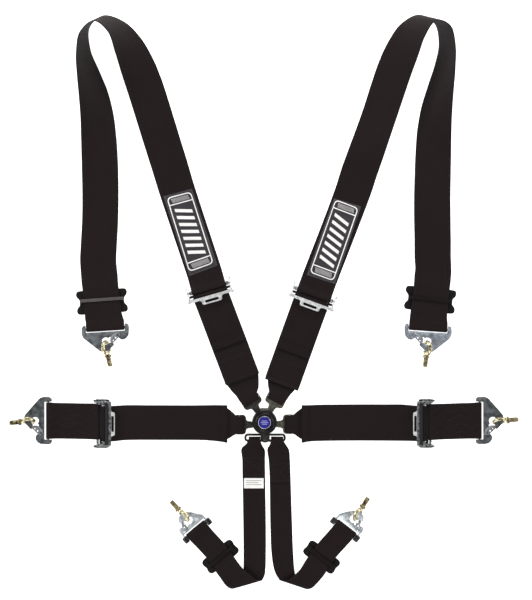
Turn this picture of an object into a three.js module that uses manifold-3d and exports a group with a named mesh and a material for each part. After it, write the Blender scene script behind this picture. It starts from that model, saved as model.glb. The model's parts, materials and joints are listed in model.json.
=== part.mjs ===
// Racing harness laid flat: a round cam-lock buckle, two 3 in shoulder straps, two 3 in lap straps
// and two 2 in crotch straps, each ending in a snap hook hung on an eye bolt.
// Millimetres. Origin on the floor under the buckle's centre, +Y towards the shoulder straps, +Z up.
import * as THREE from 'three';
import * as BGU from 'three/addons/utils/BufferGeometryUtils.js';
import Module from 'manifold-3d';

const wasm = await Module();
wasm.setup();
const { Manifold, Mesh: MMesh } = wasm;

// ---- driving dimensions ------------------------------------------------------------------
const WEB3 = 75;          // 3 in webbing as laid
const WEB2 = 48;          // 2 in webbing
const PLY = 1.6;          // one layer of webbing
const DOUBLE = 3.2;       // two sewn layers
const GAP = 0.3;          // running clearance
const BODY_R = 26;        // buckle body radius
const BODY_Z0 = 2.5, BODY_Z1 = 16;
const KNOB_R = 25.3, KNOB_Z0 = 16.4, KNOB_Z1 = 27;
const TONGUE_Z0 = 6, TONGUE_Z1 = 8.5;
const PIN_AT = 14;        // lock pin circle
const BAR_A = 57.5;       // tongue bar centre
const CROTCH_BAR_A = 39.4; // double tongue's bar centre
const HOOK_T = 3;         // hook plate thickness
const HOOK_BAR_Z = 5.3;   // hook bar above the floor
const HOOK_TILT = [14.0, 12.2]; // 3 in and 2 in hooks ride up on their eye bolts, degrees
const HOLE_A = 20.5, HOLE_R = 8.7;
const RING_A = 35, RING_R = 12.5, WIRE_R = 3.7, RING_ROLL = 65, BOLT_PITCH = 13.7;
const SEG = 40;

// places: [x, y, heading of the outward axis in degrees]
const TONGUE = {
  shoulder_left: [0, 0, 122.3], shoulder_right: [0, 0, 63.2],
  lap_left: [0, -6, 180], lap_right: [0, -5, 0], crotch: [1.2, 0, 270] };
const ADJ = {
  shoulder_left: [-115.2, 274.2, 106], shoulder_right: [101.5, 261.0, 70],
  lap_left: [-338, -4.2, 180], lap_right: [336, -3.8, 0] };
const SLIDE = {
  shoulder_left: [-341.4, 256.2, -84, 3], shoulder_right: [347.9, 255.8, -96, 3],
  crotch_left: [-92.4, -283.5, 129.5, 2], crotch_right: [119.7, -284.6, 52.0, 2] };
const HOOK = { // slot centre
  shoulder_left: [-333.3, 189.0, -86.4, 3, -1, -78.7], shoulder_right: [342.4, 188.5, -93.9, 3, 1, -95.3],
  lap_left: [-460.5, 2.2, 180, 3, -1, 187], lap_right: [457.8, 2.5, 0, 3, 1, 3.4],
  crotch_left: [-146.3, -221.6, 129.9, 2, -1, 134], crotch_right: [174.1, -219.2, 52, 2, 1, 55.8] };

// upright shoulder loops: [edge 1 x,y,z, edge 2 x,y,z] of the webbing's under face
const LOOP_L = [
  [-148.6,500.2,0,-220.8,478.3,0],[-161.4,544.2,0.4,-234.0,521.1,0.8],[-174.9,588.0,2.2,-247.5,564.2,3.5],
  [-188.2,631.6,6.0,-260.8,607.1,7.6],[-201.4,675.0,12.0,-273.6,649.6,14.7],[-215.7,718.6,18.7,-285.8,689.9,28.4],
  [-233.8,761.7,24.5,-297.1,727.6,49.4],[-258.4,802.0,27.8,-306.9,764.6,73.1],[-292.5,834.6,27.8,-319.6,802.4,91.2],
  [-334.8,848.3,23.1,-349.3,824.1,94.0],[-365.6,825.1,11.5,-378.1,803.1,83.2],[-365.0,780.8,1.5,-387.0,762.4,71.9],
  [-347.5,737.3,0,-386.1,719.0,62.0],[-329.4,694.0,0.4,-383.6,675.9,50.6],[-317.4,648.1,0.6,-382.0,633.2,37.9],
  [-311.3,601.5,0,-382.2,591.0,25.0],[-308.1,555.1,0,-382.5,548.4,13.3],[-306.6,508.8,0,-382.4,505.0,5.0],
  [-306.4,462.5,0,-382.4,460.8,1.0],[-307.4,416.2,0,-383.4,415.7,0],[-309.9,370.0,0,-385.9,370.3,0.2],
  [-311.2,340.3,0.1,-387.3,340.2,0.2]];
const LOOP_R = [
  [147.7,487.5,0,222.6,474.9,0],[161.9,532.3,0.1,235.6,514.8,3.7],[177.7,575.7,0,249.1,554.8,14.1],
  [193.8,618.9,0.8,262.3,595.5,23.8],[209.0,662.5,6.3,276.0,637.1,31.4],[222.4,705.6,16.6,289.5,678.5,39.8],
  [236.6,747.9,29.0,302.5,718.5,52.8],[255.5,789.3,38.0,315.3,755.8,71.3],[282.2,826.9,38.8,327.8,793.4,89.9],
  [319.8,848.4,29.5,350.8,825.0,95.2],[355.0,833.8,13.7,381.4,815.8,82.7],[365.6,792.3,2.2,392.7,776.4,71.3],
  [357.1,747.2,0,392.9,732.0,64.3],[342.7,703.4,0,390.3,687.6,56.5],[328.9,658.8,0.6,388.6,644.4,45.5],
  [320.5,612.5,0.7,388.4,602.3,33.5],[317.0,566.2,0.1,389.0,559.4,23.3],[315.1,520.2,0,389.2,515.4,15.8],
  [313.9,474.1,0,389.1,471.1,10.6],[313.9,428.1,0,389.8,426.3,7.4],[314.7,382.3,0,390.8,381.2,4.6],
  [315.0,345,0,391.2,345,2]];

// ---- materials ---------------------------------------------------------------------------
const WEB = ['#231f20', 0.85, 0], BLACK_STEEL = ['#1a1a1c', 0.5, 0.6], CHROME = ['#b9bcbd', 0.3, 0.9];
const GUNMETAL = ['#3b3f44', 0.4, 0.8], ZINC_DARK = ['#6f797e', 0.45, 0.8], ZINC = ['#a9b3b8', 0.4, 0.8];
const GOLD = ['#c8ab62', 0.35, 0.85], BLACK = ['#151517', 0.45, 0.1], BLUE = ['#2b2078', 0.3, 0.2];
const SILVER = ['#c9cacd', 0.25, 0.9], PATCH = ['#3c3a3d', 0.8, 0], LABEL = ['#e9e8e4', 0.7, 0];

const root = new THREE.Group();
root.name = 'racing_harness';

// ---- helpers -----------------------------------------------------------------------------
const rad = THREE.MathUtils.degToRad;
const V = (x, y, z = 0) => new THREE.Vector3(x, y, z);
function solid(g) {
  let h = g.index ? g : g;
  for (const k of Object.keys(h.attributes)) if (k !== 'position') h.deleteAttribute(k);
  h = BGU.mergeVertices(h, 1e-4);
  const m = new MMesh({ numProp: 3, vertProperties: new Float32Array(h.attributes.position.array), triVerts: new Uint32Array(h.index.array) });
  m.merge();
  return Manifold.ofMesh(m);
}
function geom(man) {
  const m = man.getMesh();
  const g = new THREE.BufferGeometry();
  const p = new Float32Array(m.numVert * 3);
  for (let i = 0; i < m.numVert; i++) for (let k = 0; k < 3; k++) p[i * 3 + k] = m.vertProperties[i * m.numProp + k];
  g.setAttribute('position', new THREE.BufferAttribute(p, 3));
  g.setIndex(Array.from(m.triVerts));
  return g;
}
const add = (...s) => s.reduce((a, b) => a.add(b));
const sub = (a, ...s) => s.reduce((q, b) => q.subtract(b), a);
function put(name, man, [color, roughness, metalness]) {
  const g = geom(man);
  g.computeVertexNormals();
  const mesh = new THREE.Mesh(g, new THREE.MeshStandardMaterial({ color, roughness, metalness }));
  mesh.name = name;
  root.add(mesh);
}
// a flat outline in (a, c) lifted from z0 to z1
function slab(pts, z0, z1, holes = []) {
  const s = new THREE.Shape(pts.map(p => new THREE.Vector2(p[0], p[1])));
  for (const h of holes) s.holes.push(new THREE.Path(h.map(p => new THREE.Vector2(p[0], p[1]))));
  const g = new THREE.ExtrudeGeometry(s, { depth: z1 - z0, bevelEnabled: false });
  g.translate(0, 0, z0);
  return solid(g);
}
const rect = (a0, a1, c0, c1) => [[a0, c0], [a1, c0], [a1, c1], [a0, c1]];
const block = (a0, a1, c0, c1, z0, z1) => slab(rect(a0, a1, c0, c1), z0, z1);
const circle = (a, c, r, n = 24) => Array.from({ length: n }, (_, i) => [a + r * Math.cos(2 * Math.PI * i / n), c + r * Math.sin(2 * Math.PI * i / n)]);
const disc = (a, c, r, z0, z1, n = SEG) => slab(circle(a, c, r, n), z0, z1);
// an outline in (a, z) drawn across the strap from c0 to c1
function across(pts, c0, c1, holes = []) {
  const s = new THREE.Shape(pts.map(p => new THREE.Vector2(p[0], p[1])));
  for (const h of holes) s.holes.push(new THREE.Path(h.map(p => new THREE.Vector2(p[0], p[1]))));
  const g = new THREE.ExtrudeGeometry(s, { depth: c1 - c0, bevelEnabled: false });
  g.applyMatrix4(new THREE.Matrix4().makeBasis(V(1, 0, 0), V(0, 0, 1), V(0, -1, 0)));
  g.translate(0, c1, 0);
  return solid(g);
}
function rounded(pts, r, n = 3) { // corner rounding by arcs
  const out = [];
  const N = pts.length;
  for (let i = 0; i < N; i++) {
    const p = new THREE.Vector2(...pts[i]), a = new THREE.Vector2(...pts[(i + N - 1) % N]), b = new THREE.Vector2(...pts[(i + 1) % N]);
    const da = a.clone().sub(p), db = b.clone().sub(p);
    const q = Math.min(r, da.length() * 0.45, db.length() * 0.45);
    da.setLength(q); db.setLength(q);
    const s = p.clone().add(da), e = p.clone().add(db);
    for (let k = 0; k <= n; k++) {
      const t = k / n;
      out.push([(1 - t) ** 2 * s.x + 2 * t * (1 - t) * p.x + t * t * e.x, (1 - t) ** 2 * s.y + 2 * t * (1 - t) * p.y + t * t * e.y]);
    }
  }
  return out;
}
const place = (x, y, z, heading, tilt = 0) => new THREE.Matrix4().makeTranslation(x, y, z)
  .multiply(new THREE.Matrix4().makeRotationZ(rad(heading)))
  .multiply(new THREE.Matrix4().makeRotationY(rad(-tilt)));
const move = (man, m) => man.transform(m.elements);
const S = (x1, y1, z1, x2, y2, z2, t) => [V(x1, y1, z1), V(x2, y2, z2), t];
// sewn eye round a bar: outer sleeve and its bore, centred at (x, y, z), square to `heading`
function eye(x, y, z, heading, half, ri, ro) {
  const m = place(x, y, z, heading);
  return [move(across(circle(0, 0, ro, 24), -half, half), m), move(across(circle(0, 0, ri, 24), -half - 60, half + 60), m)];
}
const dir = h => V(Math.cos(rad(h)), Math.sin(rad(h)));
const lft = h => V(-Math.sin(rad(h)), Math.cos(rad(h)));
const at = (f, a, c, z) => { const p = dir(f[2]).multiplyScalar(a).add(lft(f[2]).multiplyScalar(c)); return V(f[0] + p.x, f[1] + p.y, z); };
// keep only the part of a web outside (+1) or inside (-1) a line square to a frame's axis
function cutAt(man, f, a, side) {
  const b = side > 0 ? block(-2000, a, -500, 500, -100, 300) : block(a, 2000, -500, 500, -100, 300);
  return sub(man, move(b, place(f[0], f[1], 0, f[2])));
}

// ---- buckle ------------------------------------------------------------------------------
put('buckle_back_plate', add(disc(0, 0, 25, 0, 2.2), block(-9, 9, -28.5, 28.5, 0, 2.2)), GUNMETAL);
{
  let body = slab(circle(0, 0, BODY_R, 56), BODY_Z0, BODY_Z1);
  body = sub(body, disc(0, 0, 18.4, 9.0, 14.4), disc(0, 0, 4.6, 0, 20, 24));
  for (const k in TONGUE) {
    const f = TONGUE[k];
    body = sub(body, move(block(8.5, 40, -7.3, 7.3, TONGUE_Z0 - 0.3, 9.1), place(f[0], f[1], 0, f[2])));
  }
  put('buckle_body', body, BLACK);
}
put('buckle_spindle', add(disc(0, 0, 4.2, 2.5, 21.5, 24)), GUNMETAL);
{
  let p = sub(disc(0, 0, 17.8, 9.5, 11.0), disc(0, 0, 4.6, 9, 12, 24));
  for (const k in TONGUE) {
    const f = TONGUE[k];
    p = add(p, move(disc(PIN_AT, 0, 2, 6.0, 10, 16), place(f[0], f[1], 0, f[2])));
  }
  put('lock_plate', p, GUNMETAL);
}
{
  const pts = [];
  const n = 90;
  for (let i = 0; i < n; i++) {
    const r = KNOB_R - (i % 3 === 0 ? 0.9 : 0);
    pts.push([r * Math.cos(2 * Math.PI * i / n), r * Math.sin(2 * Math.PI * i / n)]);
  }
  const knob = sub(add(slab(pts, KNOB_Z0, 24.6), disc(0, 0, 22.6, 24.6, KNOB_Z1, 48)), disc(0, 0, 4.6, 16, 21.9, 24),
    disc(0, 0, 14.2, 26.0, 28, 48));
  put('release_knob', knob, BLACK);
}
put('badge_bezel', sub(disc(0, 0, 13.9, 26.3, 28.2, 48), disc(0, 0, 11.7, 27, 29, 48)), SILVER);
put('badge_disc', disc(0, 0, 11.4, 27.3, 28.5, 48), BLUE);

// ---- tongues -----------------------------------------------------------------------------
for (const k of ['shoulder_left', 'shoulder_right', 'lap_left', 'lap_right']) {
  const f = TONGUE[k];
  const out = rounded([[9.2, -4.2], [11.5, -6.2], [34.5, -6.2], [38.2, -9.5], [39.6, -16.5], [44, -21.6], [60.5, -21.6], [60.5, 21.6], [44, 21.6], [39.6, 16.5], [38.2, 9.5], [34.5, 6.2], [11.5, 6.2], [9.2, 4.2]], 3);
  const t = slab(out, TONGUE_Z0, TONGUE_Z1, [circle(PIN_AT, 0, 2.4, 16), rect(50.6, 54.5, -19.8, 19.8)]);
  put('tongue_' + k, move(t, place(f[0], f[1], 0, f[2])), GUNMETAL);
}
{
  const f = TONGUE.crotch;
  const out = rounded([[9.2, -4.2], [11.5, -6.7], [26.8, -6.7], [27.9, -10], [27.9, -36.5], [32, -42.2], [38, -42.2], [42.6, -38], [42.6, 38], [38, 42.2], [32, 42.2], [27.9, 36.5], [27.9, 10], [26.8, 6.7], [11.5, 6.7], [9.2, 4.2]], 3);
  const t = slab(out, TONGUE_Z0, TONGUE_Z1, [circle(PIN_AT, 0, 2.4, 16), rect(30.8, 36.3, -38.4, -9.2), rect(30.8, 36.3, 9.2, 38.4)]);
  put('tongue_crotch', move(t, place(f[0], f[1], 0, f[2])), GUNMETAL);
}

// ---- adjusters ---------------------------------------------------------------------------
// a: outward along the strap; the lift tab points back at the buckle
function adjuster(name, f, fixA, fixZ, rollA, rollZ) {
  const cheek = rounded([[-15, 1], [-15, 11], [-10, 14.4], [14, 14.4], [19, 9], [19, 1]], 3);
  const parts = [across(cheek, -46.5, -43.5), across(cheek, 43.5, 46.5)];
  parts.push(block(-15.5, -8.5, -50, 50, 12, 14.4));
  parts.push(slab(rounded([[-24, -11], [-15, -13], [-15, 13], [-24, 11]], 3), 12, 14.4));
  parts.push(across(circle(fixA, fixZ, 2.6, 20), -45, 45));
  let b = add(...parts);
  b = sub(b, slab(rounded(rect(-20.6, -17.4, -6.5, 6.5), 1.4), 10, 16));
  // oblong openings for the roller's ends
  b = sub(b, across(rounded(rect(rollA - 2.3, rollA + 3.4, rollZ - 2.3, rollZ + 2.3), 1), -60, 60));
  put('adjuster_frame_' + name, move(b, place(f[0], f[1], 0, f[2])), CHROME);
  const r = add(across(circle(rollA, rollZ, 4, 20), -42.8, 42.8), across(circle(rollA, rollZ, 1.9, 12), -48.2, 48.2));
  put('adjuster_roller_' + name, move(r, place(f[0], f[1], 0, f[2])), CHROME);
}
const SH_FIX = -10, SH_FIXZ = 4.6, SH_ROLL = 6, SH_ROLLZ = 6.4;
const LP_FIX = 12, LP_FIXZ = 5, LP_ROLL = -3, LP_ROLLZ = 6;
adjuster('shoulder_left', ADJ.shoulder_left, SH_FIX, SH_FIXZ, SH_ROLL, SH_ROLLZ);
adjuster('shoulder_right', ADJ.shoulder_right, SH_FIX, SH_FIXZ, SH_ROLL, SH_ROLLZ);
adjuster('lap_left', ADJ.lap_left, LP_FIX, LP_FIXZ, LP_ROLL, LP_ROLLZ);
adjuster('lap_right', ADJ.lap_right, LP_FIX, LP_FIXZ, LP_ROLL, LP_ROLLZ);

// ---- shoulder straps ---------------------------------------------------------------------
// lower length: sewn eye on the tongue bar, gathered end, sewn eye on the adjuster's fixed bar
function lowerShoulder(side, tf, af, heading) {
  const w = WEB3 / 2;
  const t0 = at(tf, BAR_A, 0, 7.25), a0 = at(af, SH_FIX, 0, SH_FIXZ);
  const [eo, ei] = eye(t0.x, t0.y, 7.25, tf[2], 19.3, 3.6, 5.2);
  const [fo, fi] = eye(a0.x, a0.y, SH_FIXZ, af[2], 37.5, 3.0, 4.6);
  const u = dir(heading), l = lft(heading);
  const dist = a0.clone().sub(t0).dot(u);
  const mid = (s, half, z, t) => { // station s along the strap measured from the tongue bar
    const k = s / dist;
    const c = t0.clone().lerp(a0, k); c.z = z;
    return [c.clone().addScaledVector(l, half), c.clone().addScaledVector(l, -half), t];
  };
  const st = [];
  const tl = lft(tf[2]), al = lft(af[2]);
  const q = t0.clone().addScaledVector(dir(tf[2]), 2); q.z = 5.6;
  st.push([q.clone().addScaledVector(tl, 19.3), q.clone().addScaledVector(tl, -19.3), DOUBLE]);
  st.push(mid(12, 27, 4.2, DOUBLE), mid(24, 36.5, 2.0, DOUBLE), mid(36, w, 0.6, DOUBLE), mid(52, w, 0, DOUBLE), mid(dist - 40, w, 0, DOUBLE), mid(dist - 12, w, 0, DOUBLE));
  const e = a0.clone(); e.z = 1.2;
  st.push([e.clone().addScaledVector(al, 37.5), e.clone().addScaledVector(al, -37.5), DOUBLE]);
  const web = sub(add(loopRibbon(st), eo, fo), ei, fi);
  put('shoulder_web_lower_' + side, web, WEB);
  return { t0, a0, dist, u, l };
}
const slL = lowerShoulder('left', TONGUE.shoulder_left, ADJ.shoulder_left, 110.2);
const slR = lowerShoulder('right', TONGUE.shoulder_right, ADJ.shoulder_right, 69.9);
// free tail: out from under the adjuster's bar, lying on the lower length
function tail(side, af, low, len) {
  const al = lft(af[2]);
  const p = (a, z, half) => { const c = at(af, a, 0, z); return [c.clone().addScaledVector(al, half), c.clone().addScaledVector(al, -half), PLY]; };
  const q = (s, z, half) => { const c = low.a0.clone().addScaledVector(low.u, -s); c.z = z; return [c.clone().addScaledVector(low.l, half), c.clone().addScaledVector(low.l, -half), PLY]; };
  const st = [p(-0.9, 9.75, 36.5), p(-12, 9.75, 36.5), p(-17, 8.6, 36.5), q(18, 5.2, 36.8), q(30, 3.6, 37), q(len, 3.6, 37)];
  put('shoulder_tail_' + side, loopRibbon(st), WEB);
}
tail('left', ADJ.shoulder_left, slL, 117.7);
tail('right', ADJ.shoulder_right, slR, 115.7);
// upper length: over the roller, up to the standing loop, back down to the hook
function upperShoulder(side, af, loop, sl, hk, s) {
  const c = at(af, SH_ROLL, 0, SH_ROLLZ);
  const [eo, ei] = eye(c.x, c.y, SH_ROLLZ, af[2], 37, 4.4, 6.0);
  const al = lft(af[2]);
  const st = [];
  const q = (a, z) => { const m = at(af, a, 0, z); return [m.clone().addScaledVector(al, 37 * s), m.clone().addScaledVector(al, -37 * s), PLY]; };
  st.push(q(10.2, 8.2), q(16, 4.2), q(25, 0.9), q(36, 0));
  for (const r of loop) st.push([V(r[3], r[4], r[5]), V(r[0], r[1], r[2]), PLY]);
  // outer run through the slide
  const fa = [sl[0], sl[1], sl[2]];
  const w = WEB3 / 2;
  const e = (f, a, z, half, t) => { const m = at(f, a, 0, z); const d = lft(f[2]); return [m.clone().addScaledVector(d, -half * s), m.clone().addScaledVector(d, half * s), t]; };
  st.push(e(fa, -62, 0.3, w, PLY), e(fa, -46, 2.72, w, PLY), e(fa, -28, 2.72, w, DOUBLE), e(fa, 0, 2.72, w, DOUBLE), e(fa, 28, 2.72, w, DOUBLE));
  const hb = at(hk, -6, 0, HOOK_BAR_Z);
  const hf = [hb.x, hb.y, hk[2]];
  st.push(e(hf, -16, 3.2, w - 0.6, DOUBLE), e(hf, -4.4, 3.7, w - 0.8, DOUBLE));
  const [ho, hi] = eye(hb.x, hb.y, HOOK_BAR_Z, hk[2], w - 0.8, 3.7, 5.3);
  // the run's face turns over in the loop, so the solid grows to the same side all along
  const web = sub(add(loopRibbon(st), eo, ho), ei, hi);
  put('shoulder_web_upper_' + side, web, WEB);
}
// ribbon whose first face is up on the first run and down on the last
function loopRibbon(st) { // webbing through stations [edge point, edge point, thickness]
  const n = st.length;
  const mids = st.map(([p1, p2]) => p1.clone().add(p2).multiplyScalar(0.5));
  const P = st.map(([p1, p2, t], i) => {
    const al = mids[Math.min(i + 1, n - 1)].clone().sub(mids[Math.max(i - 1, 0)]);
    const nr = al.cross(p2.clone().sub(p1)).normalize();
    const k = nr.z; // lift each run by half its thickness, whichever way its face looks
    const off = V(0, 0, Math.abs(k) * t / 2);
    const h = nr.clone().multiplyScalar(t / 2);
    const a = p1.clone().add(off), b = p2.clone().add(off);
    return [a.clone().sub(h), b.clone().sub(h), b.clone().add(h), a.clone().add(h)];
  });
  const pos = [];
  const tri = (a, b, c) => pos.push(...a.toArray(), ...b.toArray(), ...c.toArray());
  const quad = (a, b, c, d) => { tri(a, b, c); tri(a, c, d); };
  for (let i = 0; i + 1 < n; i++) for (let k = 0; k < 4; k++) {
    const l = (k + 1) % 4;
    // both faces are split along the same diagonal, so a twisted run keeps its thickness
    if (k === 0) { tri(P[i][0], P[i + 1][0], P[i][1]); tri(P[i + 1][0], P[i + 1][1], P[i][1]); }
    else quad(P[i][k], P[i + 1][k], P[i + 1][l], P[i][l]);
  }
  quad(P[0][0], P[0][1], P[0][2], P[0][3]);
  quad(P[n - 1][3], P[n - 1][2], P[n - 1][1], P[n - 1][0]);
  let v = 0;
  for (let i = 0; i < pos.length; i += 9) {
    const [ax, ay, az, bx, by, bz, cx, cy, cz] = pos.slice(i, i + 9);
    v += ax * (by * cz - bz * cy) - ay * (bx * cz - bz * cx) + az * (bx * cy - by * cx);
  }
  if (v < 0) for (let i = 0; i < pos.length; i += 9) {
    for (let k = 0; k < 3; k++) { const t = pos[i + 3 + k]; pos[i + 3 + k] = pos[i + 6 + k]; pos[i + 6 + k] = t; }
  }
  const g = new THREE.BufferGeometry();
  g.setAttribute('position', new THREE.Float32BufferAttribute(pos, 3));
  return solid(g);
}
upperShoulder('left', ADJ.shoulder_left, LOOP_L, SLIDE.shoulder_left, HOOK.shoulder_left, 1);
upperShoulder('right', ADJ.shoulder_right, LOOP_R, SLIDE.shoulder_right, HOOK.shoulder_right, -1);

// ---- lap straps --------------------------------------------------------------------------
function lap(side, tf, af, hk, yT, yB, s) {
  const t0 = at(tf, BAR_A, 0, 7.25), r0 = at(af, LP_ROLL, 0, LP_ROLLZ);
  const [eo, ei] = eye(t0.x, t0.y, 7.25, tf[2], 19.3, 3.6, 5.2);
  const [ro, ri] = eye(r0.x, r0.y, LP_ROLLZ, af[2], 37, 4.4, 6.0);
  const X = x => s * x;
  const st = [S(X(59.5), t0.y + 19.3, 5.6, X(59.5), t0.y - 19.3, 5.6, DOUBLE),
    S(X(70), 25, 4.0, X(69), -34.5, 4.0, DOUBLE), S(X(81), 33.0, 1.6, X(79), -44.0, 1.6, DOUBLE),
    S(X(95), yT, 0.4, X(95), -42, 0.4, DOUBLE), S(X(112), yT, 0, X(112), yB, 0, DOUBLE),
    S(X(300), yT, 0, X(300), yB, 0, DOUBLE), S(r0.x - s * 14, r0.y + 37, 0.1, r0.x - s * 14, r0.y - 37, 0.1, DOUBLE),
    S(r0.x - s * 2.5, r0.y + 37, 0.6, r0.x - s * 2.5, r0.y - 37, 0.6, DOUBLE)];
  put('lap_web_main_' + side, sub(add(loopRibbon(st), eo, ro), ei, ri), WEB);
  const f0 = at(af, LP_FIX, 0, LP_FIXZ);
  const [fo, fi] = eye(f0.x, f0.y, LP_FIXZ, af[2], 37, 3.0, 4.6);
  const hb = at(hk, -6, 0, HOOK_BAR_Z);
  const [ho, hi] = eye(hb.x, hb.y, HOOK_BAR_Z, hk[2], 37, 3.7, 5.3);
  const sa = [S(f0.x + s * 2, f0.y + 37, 1.4, f0.x + s * 2, f0.y - 37, 1.4, DOUBLE), S(f0.x + s * 16, f0.y + 37.5, 0, f0.x + s * 16, f0.y - 37.5, 0, DOUBLE),
    S(hb.x - s * 18, hb.y + 37.8, 0.2, hb.x - s * 18, hb.y - 37.8, 0.2, DOUBLE), S(hb.x - s * 3, hb.y + 37, 2.4, hb.x - s * 3, hb.y - 37, 2.4, DOUBLE)];
  put('lap_web_anchor_' + side, sub(add(loopRibbon(sa), fo, ho), fi, hi), WEB);
}
lap('left', TONGUE.lap_left, ADJ.lap_left, HOOK.lap_left, 34.6, -39.2, -1);
lap('right', TONGUE.lap_right, ADJ.lap_right, HOOK.lap_right, 35.9, -40.6, 1);

// ---- crotch straps -----------------------------------------------------------------------
// main run down from the double tongue, folded over flat, and back up to the hook
function crotch(side, c0, c1, rows, sl, hk, s) {
  const tf = TONGUE.crotch;
  const b = at(tf, CROTCH_BAR_A, 0, 7.25);
  const cx = tf[0] + (c0 + c1) / 2, half = (c1 - c0) / 2;
  const [eo, ei] = eye(cx, b.y, 7.25, 270, half, 3.6, 5.2);
  const st = [S(tf[0] + c0, b.y - 2, 5.6, tf[0] + c1, b.y - 2, 5.6, DOUBLE)];
  for (const r of rows) st.push(S(...r));
  const fa = [sl[0], sl[1], sl[2]];
  const w = WEB2 / 2;
  const e = (f, a, z, h, t) => { const m = at(f, a, 0, z); const d = lft(f[2]); return [m.clone().addScaledVector(d, h * s), m.clone().addScaledVector(d, -h * s), t]; };
  // s = +1: the first edge is the left one on the main run and stays the outer one on the return
  st.push(e(fa, -12, 2.72, w, DOUBLE), e(fa, 0, 2.72, w, DOUBLE), e(fa, 26, 2.72, w, DOUBLE));
  const hb = at(hk, -6, 0, 6.6);
  const hf = [hb.x, hb.y, hk[2]];
  st.push(e(hf, -18, 3.0, w, DOUBLE), e(hf, -5, 3.8, w, DOUBLE));
  const [ho, hi] = eye(hb.x, hb.y, 6.6, hk[2], w, 5.0, 6.6);
  put('crotch_web_' + side, sub(add(loopRibbon(st), eo, ho), ei, hi), WEB);
}
crotch('left', -33.8, -10.7, [
  [-41,-47,4.2, -4,-48,4.2, DOUBLE], [-48.2,-56,2.4, 0.4,-59,2.4, DOUBLE], [-46.8,-80,0.4, 1,-80,0.4, DOUBLE], [-46.2,-112,0, 1.3,-112,0, DOUBLE],
  [-44.6,-217,0, 2.9,-217,0, DOUBLE], [-44.1,-275,0, 2.9,-275,0, DOUBLE], [-44.5,-312,0, 2.2,-308,0, DOUBLE],
  [-48.5,-334,0.2, 0.4,-322,0.2, DOUBLE], [-58,-345,1.4, -3.0,-329.5,1.4, DOUBLE], [-65,-349.5,5.2, -6.2,-332.5,5.2, DOUBLE],
  [-74,-348,9.0, -16,-331,9.0, DOUBLE], [-84,-339,9.4, -28,-321,9.4, DOUBLE], [-92.5,-327,8.4, -43,-309,9.4, DOUBLE], [-103.5,-312,5.2, -58,-291,8.0, DOUBLE]],
  SLIDE.crotch_left, HOOK.crotch_left, 1);
crotch('right', 13.0, 37.4, [
  [10,-47,4.2, 46,-47,4.2, DOUBLE], [6.2,-57,2.4, 51,-58,2.4, DOUBLE], [8.6,-80,0.4, 53.4,-80,0.4, DOUBLE], [10.5,-112,0, 54.6,-112,0, DOUBLE],
  [12.2,-217,0, 58,-217,0, DOUBLE], [14.5,-275,0, 60.2,-275,0, DOUBLE], [18.9,-306,0, 63.4,-315,0, DOUBLE],
  [24,-321,0.2, 69,-336,0.2, DOUBLE], [29,-328.5,1.4, 79,-346.5,1.4, DOUBLE], [32.4,-332,5.2, 88,-350.5,5.2, DOUBLE],
  [45,-333,9.0, 99,-348,9.0, DOUBLE], [62,-321,9.4, 110,-338,9.4, DOUBLE], [75,-308,9.4, 119.5,-327.5,8.4, DOUBLE], [85.5,-291,8.0, 129,-315,5.2, DOUBLE]],
  SLIDE.crotch_right, HOOK.crotch_right, -1);

// ---- three-bar slides --------------------------------------------------------------------
for (const k in SLIDE) {
  const [x, y, h, inch] = SLIDE[k];
  const w = inch === 3 ? 38.6 : 25.2;                  // half window
  const L = inch === 3 ? 25 : 17.5, B = inch === 3 ? 12 : 9;
  const o = w + 15.5, m = w + 9, wa = inch === 3 ? 1 : 0.72;
  const out = rounded([[-L, -m + 2], [-L + 1, -o + 3], [-L + 7 * wa, -o], [-L + 14 * wa, -o + 2], [-6 * wa, -m + 1], [6 * wa, -m + 1], [L - 14 * wa, -o + 2], [L - 7 * wa, -o], [L - 1, -o + 3], [L, -m + 2],
    [L, m - 2], [L - 1, o - 3], [L - 7 * wa, o], [L - 14 * wa, o - 2], [6 * wa, m - 1], [-6 * wa, m - 1], [-L + 14 * wa, o - 2], [-L + 7 * wa, o], [-L + 1, o - 3], [-L, m - 2]], 4);
  const ring = slab(out, 0, 2.4, [rect(-B, B, -w, w)]);
  const posts = [add(block(-4, 4, w, w + 5, 0, 8.8)), add(block(-4, 4, -w - 5, -w, 0, 8.8))];
  const bar = block(-3.2, 3.2, -w - 5, w + 5, 6.3, 8.8);
  put('slide_' + k, move(add(ring, ...posts, bar), place(x, y, 0, h)), BLACK_STEEL);
}

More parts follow.
